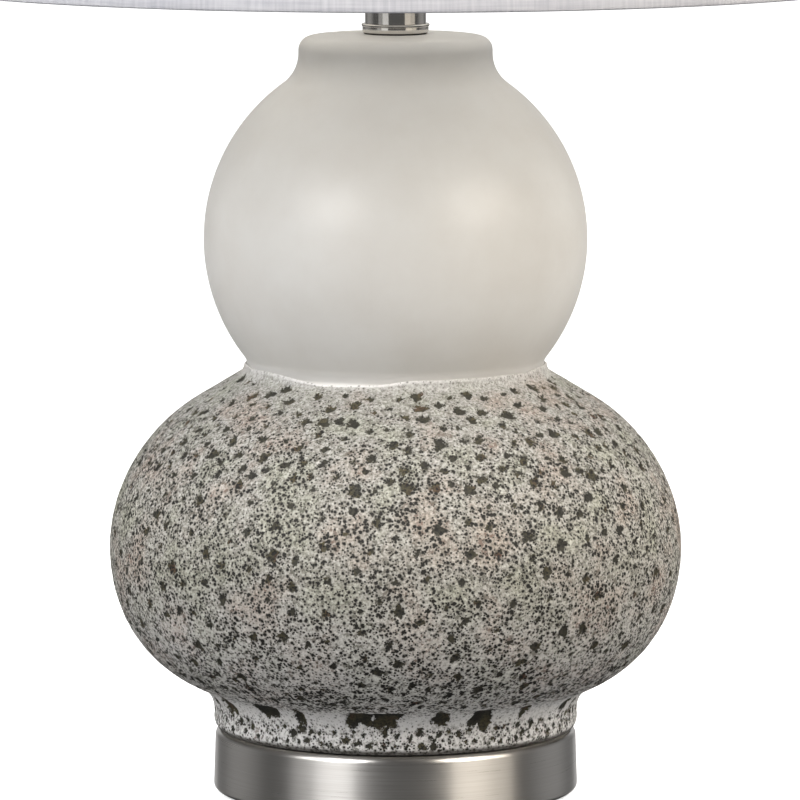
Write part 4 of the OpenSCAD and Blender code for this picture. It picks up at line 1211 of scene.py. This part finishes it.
@dataclass
class Shade:
    """The drum shade: linen on a styrene liner, hemmed over two rim wires."""

    bottom: float = 368.081
    top: float = 635.081
    bottom_radius: float = 228.5
    top_radius: float = 216.0
    linen: float = 0.6
    liner: float = 0.8
    rim_wire: float = 3.0
    tape: float = 0.4
    hem: float = 9.0
    inner_hem: float = 7.0
    hem_play: float = 0.15
    # Where the tape begins to bend round the rim, and how far the lower one hangs below the cloth
    fold: float = 1.5
    hem_drop: float = 0.6

    def radius(self, z: float) -> float:
        """Returns the outer radius of the linen at a height."""
        share = (z - self.bottom) / (self.top - self.bottom)
        return self.bottom_radius + (self.top_radius - self.bottom_radius) * share

    def build(self) -> None:
        """Builds the cloth, the liner and the hems, and finishes the wires."""
        liner = self.layer("shade_film", LINER, self.linen, self.linen + self.liner, "shade_liner")
        hems = [
            self.hem_tape("hem_lower", self.bottom - self.hem_drop, 1, "shade_bottom_hem"),
            self.hem_tape("hem_upper", self.top, -1, "shade_top_hem"),
        ]
        linen = self.layer("shade_cloth", LINEN, 0.0, self.linen, "shade_linen")
        low, high = self.bottom + self.tape, self.top - self.tape
        slant = math.hypot(high - low, self.radius(high) - self.radius(low)) * MM
        mean = math.pi * (self.radius(low) + self.radius(high)) * MM
        for node, finish in (
            ("shade_top_ring", WHITE_WIRE), ("shade_bottom_ring", WHITE_WIRE),
            ("shade_fitter", TURNED_NICKEL),
        ):
            copy_of_node(node, finish)

    def layer(
        self, name: str, finish: Finish, outer: float, inner: float, node: str,
    ) -> bpy.types.Object:
        """Turns one layer of the shade's wall.

        Args:
            name: Name of the piece.
            finish: What it is made of.
            outer: Depth of its outer face behind the cloth's face.
            inner: Depth of its inner face.
            node: Solid node that it stands for.

        Returns:
            The piece.
        """
        low, high = self.bottom + self.tape, self.top - self.tape
        shape = Turning(self.radius(low) - outer, low).line(
            (self.radius(high) - outer, high, 24), (self.radius(high) - inner, high),
            (self.radius(low) - inner, low, 24), (self.radius(low) - outer, low))
        return self.cloth(shape, name, finish, node)

    def hem_tape(self, name: str, rim: float, inward: int, node: str) -> bpy.types.Object:
        """Turns the tape folded over one rim, round at the fold.

        Args:
            name: Name of the piece.
            rim: Height of the rim.
            inward: 1 where the tape runs up from the rim, -1 where it runs down.
            node: Solid node that it stands for.

        Returns:
            The piece.
        """
        depth = self.linen + self.liner + self.rim_wire + self.hem_play
        end, inner_end, fold, inside = (
            rim + inward * way for way in (self.hem, self.inner_hem, self.fold, self.tape))
        face, face_in, face_fold, face_rim = map(self.radius, (end, inner_end, fold, rim))
        shape = Turning(face, end).line(
            (face + 0.25, end - inward * 0.2), (face_fold + self.tape, fold, 4),
            (face_rim + self.tape * 0.4, rim + inward * 0.55, 2), (face_rim - 0.5, rim, 2),
            (face_rim - depth + 0.4, rim, 4), (face_fold - depth - self.tape, fold, 3),
            (face_in - depth - self.tape, inner_end, 3), (face_in - depth, inner_end),
            (face_fold - depth, inside, 3), (face_rim - depth / 2, inside, 2),
            (face_rim, inside, 2), (face, end, 4))
        return self.cloth(shape, name, HEM, node)

    def cloth(self, shape: Turning, name: str, finish: Finish, node: str) -> bpy.types.Object:
        """Spins a layer of the shade and maps it flat, in metres, with its seam at the back.

        Args:
            shape: Its profile.
            name: Name of the piece.
            finish: What it is made of.
            node: Solid node that it stands for.

        Returns:
            The piece.
        """
        mesh = shape.spun(256)
        flat = mesh.loops.layers.uv.new("cloth")
        mean = (self.bottom_radius + self.top_radius) / 2
        for face in mesh.faces:
            middle = face.calc_center_median()
            centre = math.atan2(middle.x, -middle.y)
            for loop in face.loops:
                turn = math.atan2(loop.vert.co.x, -loop.vert.co.y)
                if turn - centre > math.pi:
                    turn -= FULL_TURN
                elif centre - turn > math.pi:
                    turn += FULL_TURN
                loop[flat].uv = (turn * mean * MM, loop.vert.co.z * MM)
        return add_piece(mesh, name, finish, "shade", (node,))


@dataclass
class Electrics:
    """The socket, its rotary switch, the bulb and the finial."""

    # The bulb's contact is a little smaller than its hole, so it turns free of the insulator
    contact_play: float = 0.97

    def build(self) -> None:
        """Finishes each part of the socket, the switch, the bulb and the finial."""
        for node, finish in (
            ("socket_cap", SOCKET_METAL), ("socket_shell", SOCKET_METAL), ("cap_set_screw", ZINC),
            ("socket_insulator", BOARD), ("socket_core", PHENOLIC), ("screw_shell", BRASS),
            ("centre_contact", BRASS), ("terminal_screws", BRASS), ("switch_shaft", BRASS),
            ("switch_knob", PHENOLIC), ("bulb_globe", DIFFUSER), ("bulb_housing", HOUSING),
            ("bulb_screw_base", BULB_METAL), ("bulb_insulator", PHENOLIC),
            ("finial_slip_washer", TURNED_NICKEL), ("finial_knob", TURNED_NICKEL),
        ):
            copy_of_node(node, finish)
        copy_of_node("bulb_contact", BULB_METAL, self.contact_play)


@dataclass
class Studio:
    """A pale floor, a soft grey room and its softboxes, with the photograph's camera."""

    camera_at: tuple[float, float, float] = (0.002, -3.026, 0.5643)
    aim: tuple[float, float, float] = (0.002, 0.0, 0.17722)
    lens: float = 305.07
    floor_size: float = 14.0
    floor_drop: float = 0.2
    # Degrees above the horizon
    softboxes: float = 30.0
    cards: float = -14.0
    rims: float = 20.0
    glints: float = 35.0
    overhead: float = 90.0

    def build(self) -> None:
        """Sets up the camera, the floor, the room and the lights."""
        self.camera()
        self.floor()
        self.room()
        # On each side a softbox and a weaker one beyond it: degrees from the camera, width,
        # colour, and the radiance of the box and of the card below it
        for name, azimuth, width, colour, radiance, mirrored in (
            ("left", -38.0, 0.68, "#ffffff", 7.1, 0.82),
            ("left_edge", -58.5, 0.5, "#ffffff", 3.1, 0.3),
            ("right", 47.5, 0.7, "#fff6e8", 6.1, 0.79),
            ("right_edge", 69.0, 0.5, "#fff6e8", 4.1, 0.59),
        ):
            self.softbox(
                "softbox_" + name, azimuth, self.softboxes, (width, 1.0), colour, radiance)
            # Under it a card mirrors it faintly in the upright metal
            card = self.softbox(
                "card_" + name, azimuth, self.cards, (width, 0.9), colour, mirrored)
            card.visible_diffuse = False
        for name, azimuth, radiance, glint_azimuth in (
            ("left", -122.0, 1.8, -34.0), ("right", 122.0, 2.9, 47.0)):
            rim = self.softbox(
                "rim_" + name, azimuth, self.rims, (0.8, 1.2), "#ffffff", radiance)
            rim.visible_glossy = False
            # A reflector shows only as the soft highlight on the satin bulb
            glint = self.softbox(
                "glint_" + name, glint_azimuth, self.glints, (0.55, 0.85), "#ffffff", 4.5)
            glint.visible_diffuse = False
        # Daylight that the cloth lets through falls on the bulb's shoulder
        glow = self.softbox(
            "glow_through_cloth", 0.0, self.overhead, (0.36, 0.36), "#fffaf4", 0.38, 0.36)
        glow.visible_glossy = False
        bpy.context.scene.view_settings.view_transform = "Standard"

    def camera(self) -> None:
        """Places the camera where the photograph was taken from."""
        lens = bpy.data.cameras.new("camera")
        lens.lens, lens.sensor_width, lens.clip_end = self.lens, 36.0, 60.0
        eye = in_scene("camera", lens)
        eye.location = self.camera_at
        look = Vector(self.aim) - Vector(self.camera_at)
        eye.rotation_euler = look.to_track_quat("-Z", "Y").to_euler()
        bpy.context.scene.camera = eye

    def floor(self) -> None:
        """Lays a pale floor that glows faintly, as bleached paper lit from behind does."""
        mesh = bmesh.new()
        bmesh.ops.create_grid(mesh, x_segments=2, y_segments=2, size=self.floor_size,
            matrix=Matrix.Translation((0, 0, -self.floor_drop * MM)))
        floor = in_scene("floor", mesh)
        paper = bpy.data.materials.new("paper_pale")
        paper.use_nodes = True
        tree = paper.node_tree
        tree.nodes.clear()
        place = add_node(tree, "TexCoord", out="Object")
        fibres = add_node(tree, "TexNoise", {"Vector": place, "Scale": 400.0, "Detail": 3.0})
        tone = add_node(tree, "ValToRGB", (fibres,), ((0.3, "#f4f4f3"), (0.7, "#f8f8f7")))
        shader = add_node(tree, "BsdfPrincipled", {
            "Base Color": tone, "Roughness": 0.9, "Emission Color": (1, 1, 1, 1),
            "Emission Strength": 0.6})
        add_node(tree, "OutputMaterial", {"Surface": shader})
        floor.data.materials.append(paper)
        # The brushed drum mirrors the grey studio in the photograph, not bright paper
        floor.visible_glossy = False
        floor.visible_diffuse = False

    def room(self) -> None:
        """Shades the room: dark towards the camera, grey at the sides, lighter behind."""
        world = bpy.data.worlds.new("studio_room")
        world.use_nodes = True
        tree = world.node_tree
        tree.nodes.clear()
        parts = add_node(tree, "SeparateXYZ", (add_node(tree, "TexCoord", out="Generated"),))
        x, y, z = parts.node.outputs
        # The walls' grey changes with the turn away from the camera's side, to 1 behind the lamp
        back = add_node(tree, "Math", (y, -1.0), operation="MULTIPLY")
        turn = add_node(tree, "Math", (x, back), operation="ARCTAN2")
        aside = add_node(tree, "Math", (turn,), operation="ABSOLUTE")
        place = add_node(tree, "Math", (aside, math.pi), operation="DIVIDE")
        walls = add_node(tree, "ValToRGB", (place,), (
            (0.0, "#585858"), (0.5, "#585858"), (0.56, "#808080"), (0.62, "#929292"),
            (0.7, "#929292"), (0.78, "#707070"), (0.86, "#707070"), (0.9, "#c4c4c4")))
        # The ceiling and the floor light the lamp softly, but the metal mirrors only the walls
        mirrored = add_node(tree, "LightPath", out="Is Glossy Ray")
        high = add_node(tree, "MapRange", (z, 0.3, 0.6))
        skirting, overhead, under = (
            add_node(tree, "MapRange", {0: mirrored, 3: diffuse, 4: glossy})
            for diffuse, glossy in ((0.0, 0.3), (1.05, 0.06), (0.42, 0.05)))
        above = add_node(tree, "Math", (z, skirting), operation="ADD")
        low = add_node(tree, "MapRange", (above, 0.0, -0.1))
        seen = walls
        for share, over in (
            (high, overhead), (low, under),
            (mirrored.node.outputs["Is Camera Ray"], linear("#ffffff")),
        ):
            seen = add_node(tree, "Mix", {0: share, 6: seen, 7: over}, data_type="RGBA")
        light = add_node(tree, "Background", {"Color": seen, "Strength": 1.0})
        add_node(tree, "OutputWorld", {"Surface": light})
        bpy.context.scene.world = world

    def softbox(
        self, name: str, azimuth: float, elevation: float, size: tuple[float, float], colour: str,
        radiance: float, distance: float = 1.6,
    ) -> bpy.types.Object:
        """Hangs a softbox that faces the lamp.

        Args:
            name: Name of the light.
            azimuth: Degrees from the camera's side, positive towards +x.
            elevation: Degrees above the horizon.
            size: Its width and height, in metres.
            colour: Its colour, as a hex value.
            radiance: Brightness of its face.
            distance: Metres from the lamp's lower bulb.

        Returns:
            The light.
        """
        light = bpy.data.lights.new(name, "AREA")
        light.shape = "RECTANGLE"
        light.size, light.size_y = size
        light.color = linear(colour)[:3]
        light.energy = radiance * math.pi * size[0] * size[1]
        turn, rise = math.radians(azimuth), math.radians(elevation)
        level = math.cos(rise)
        way = Vector((math.sin(turn) * level, -math.cos(turn) * level, math.sin(rise)))
        box = in_scene(name, light)
        box.location = Vector((0, 0, 0.2)) + distance * way
        box.rotation_euler = (-way).to_track_quat("-Z", "Y").to_euler()
        box.visible_camera = False
        return box


def main() -> None:
    """Builds the studio and each part of the lamp in turn."""
    logging.basicConfig(level=logging.INFO, format="%(name)s: %(message)s")
    for part in (Studio(), Base(), CeramicBody(), Neck(), Harp(), Shade(), Electrics()):
        log.info("%s", type(part).__name__)
        part.build()


if __name__ == "__main__":
    main()
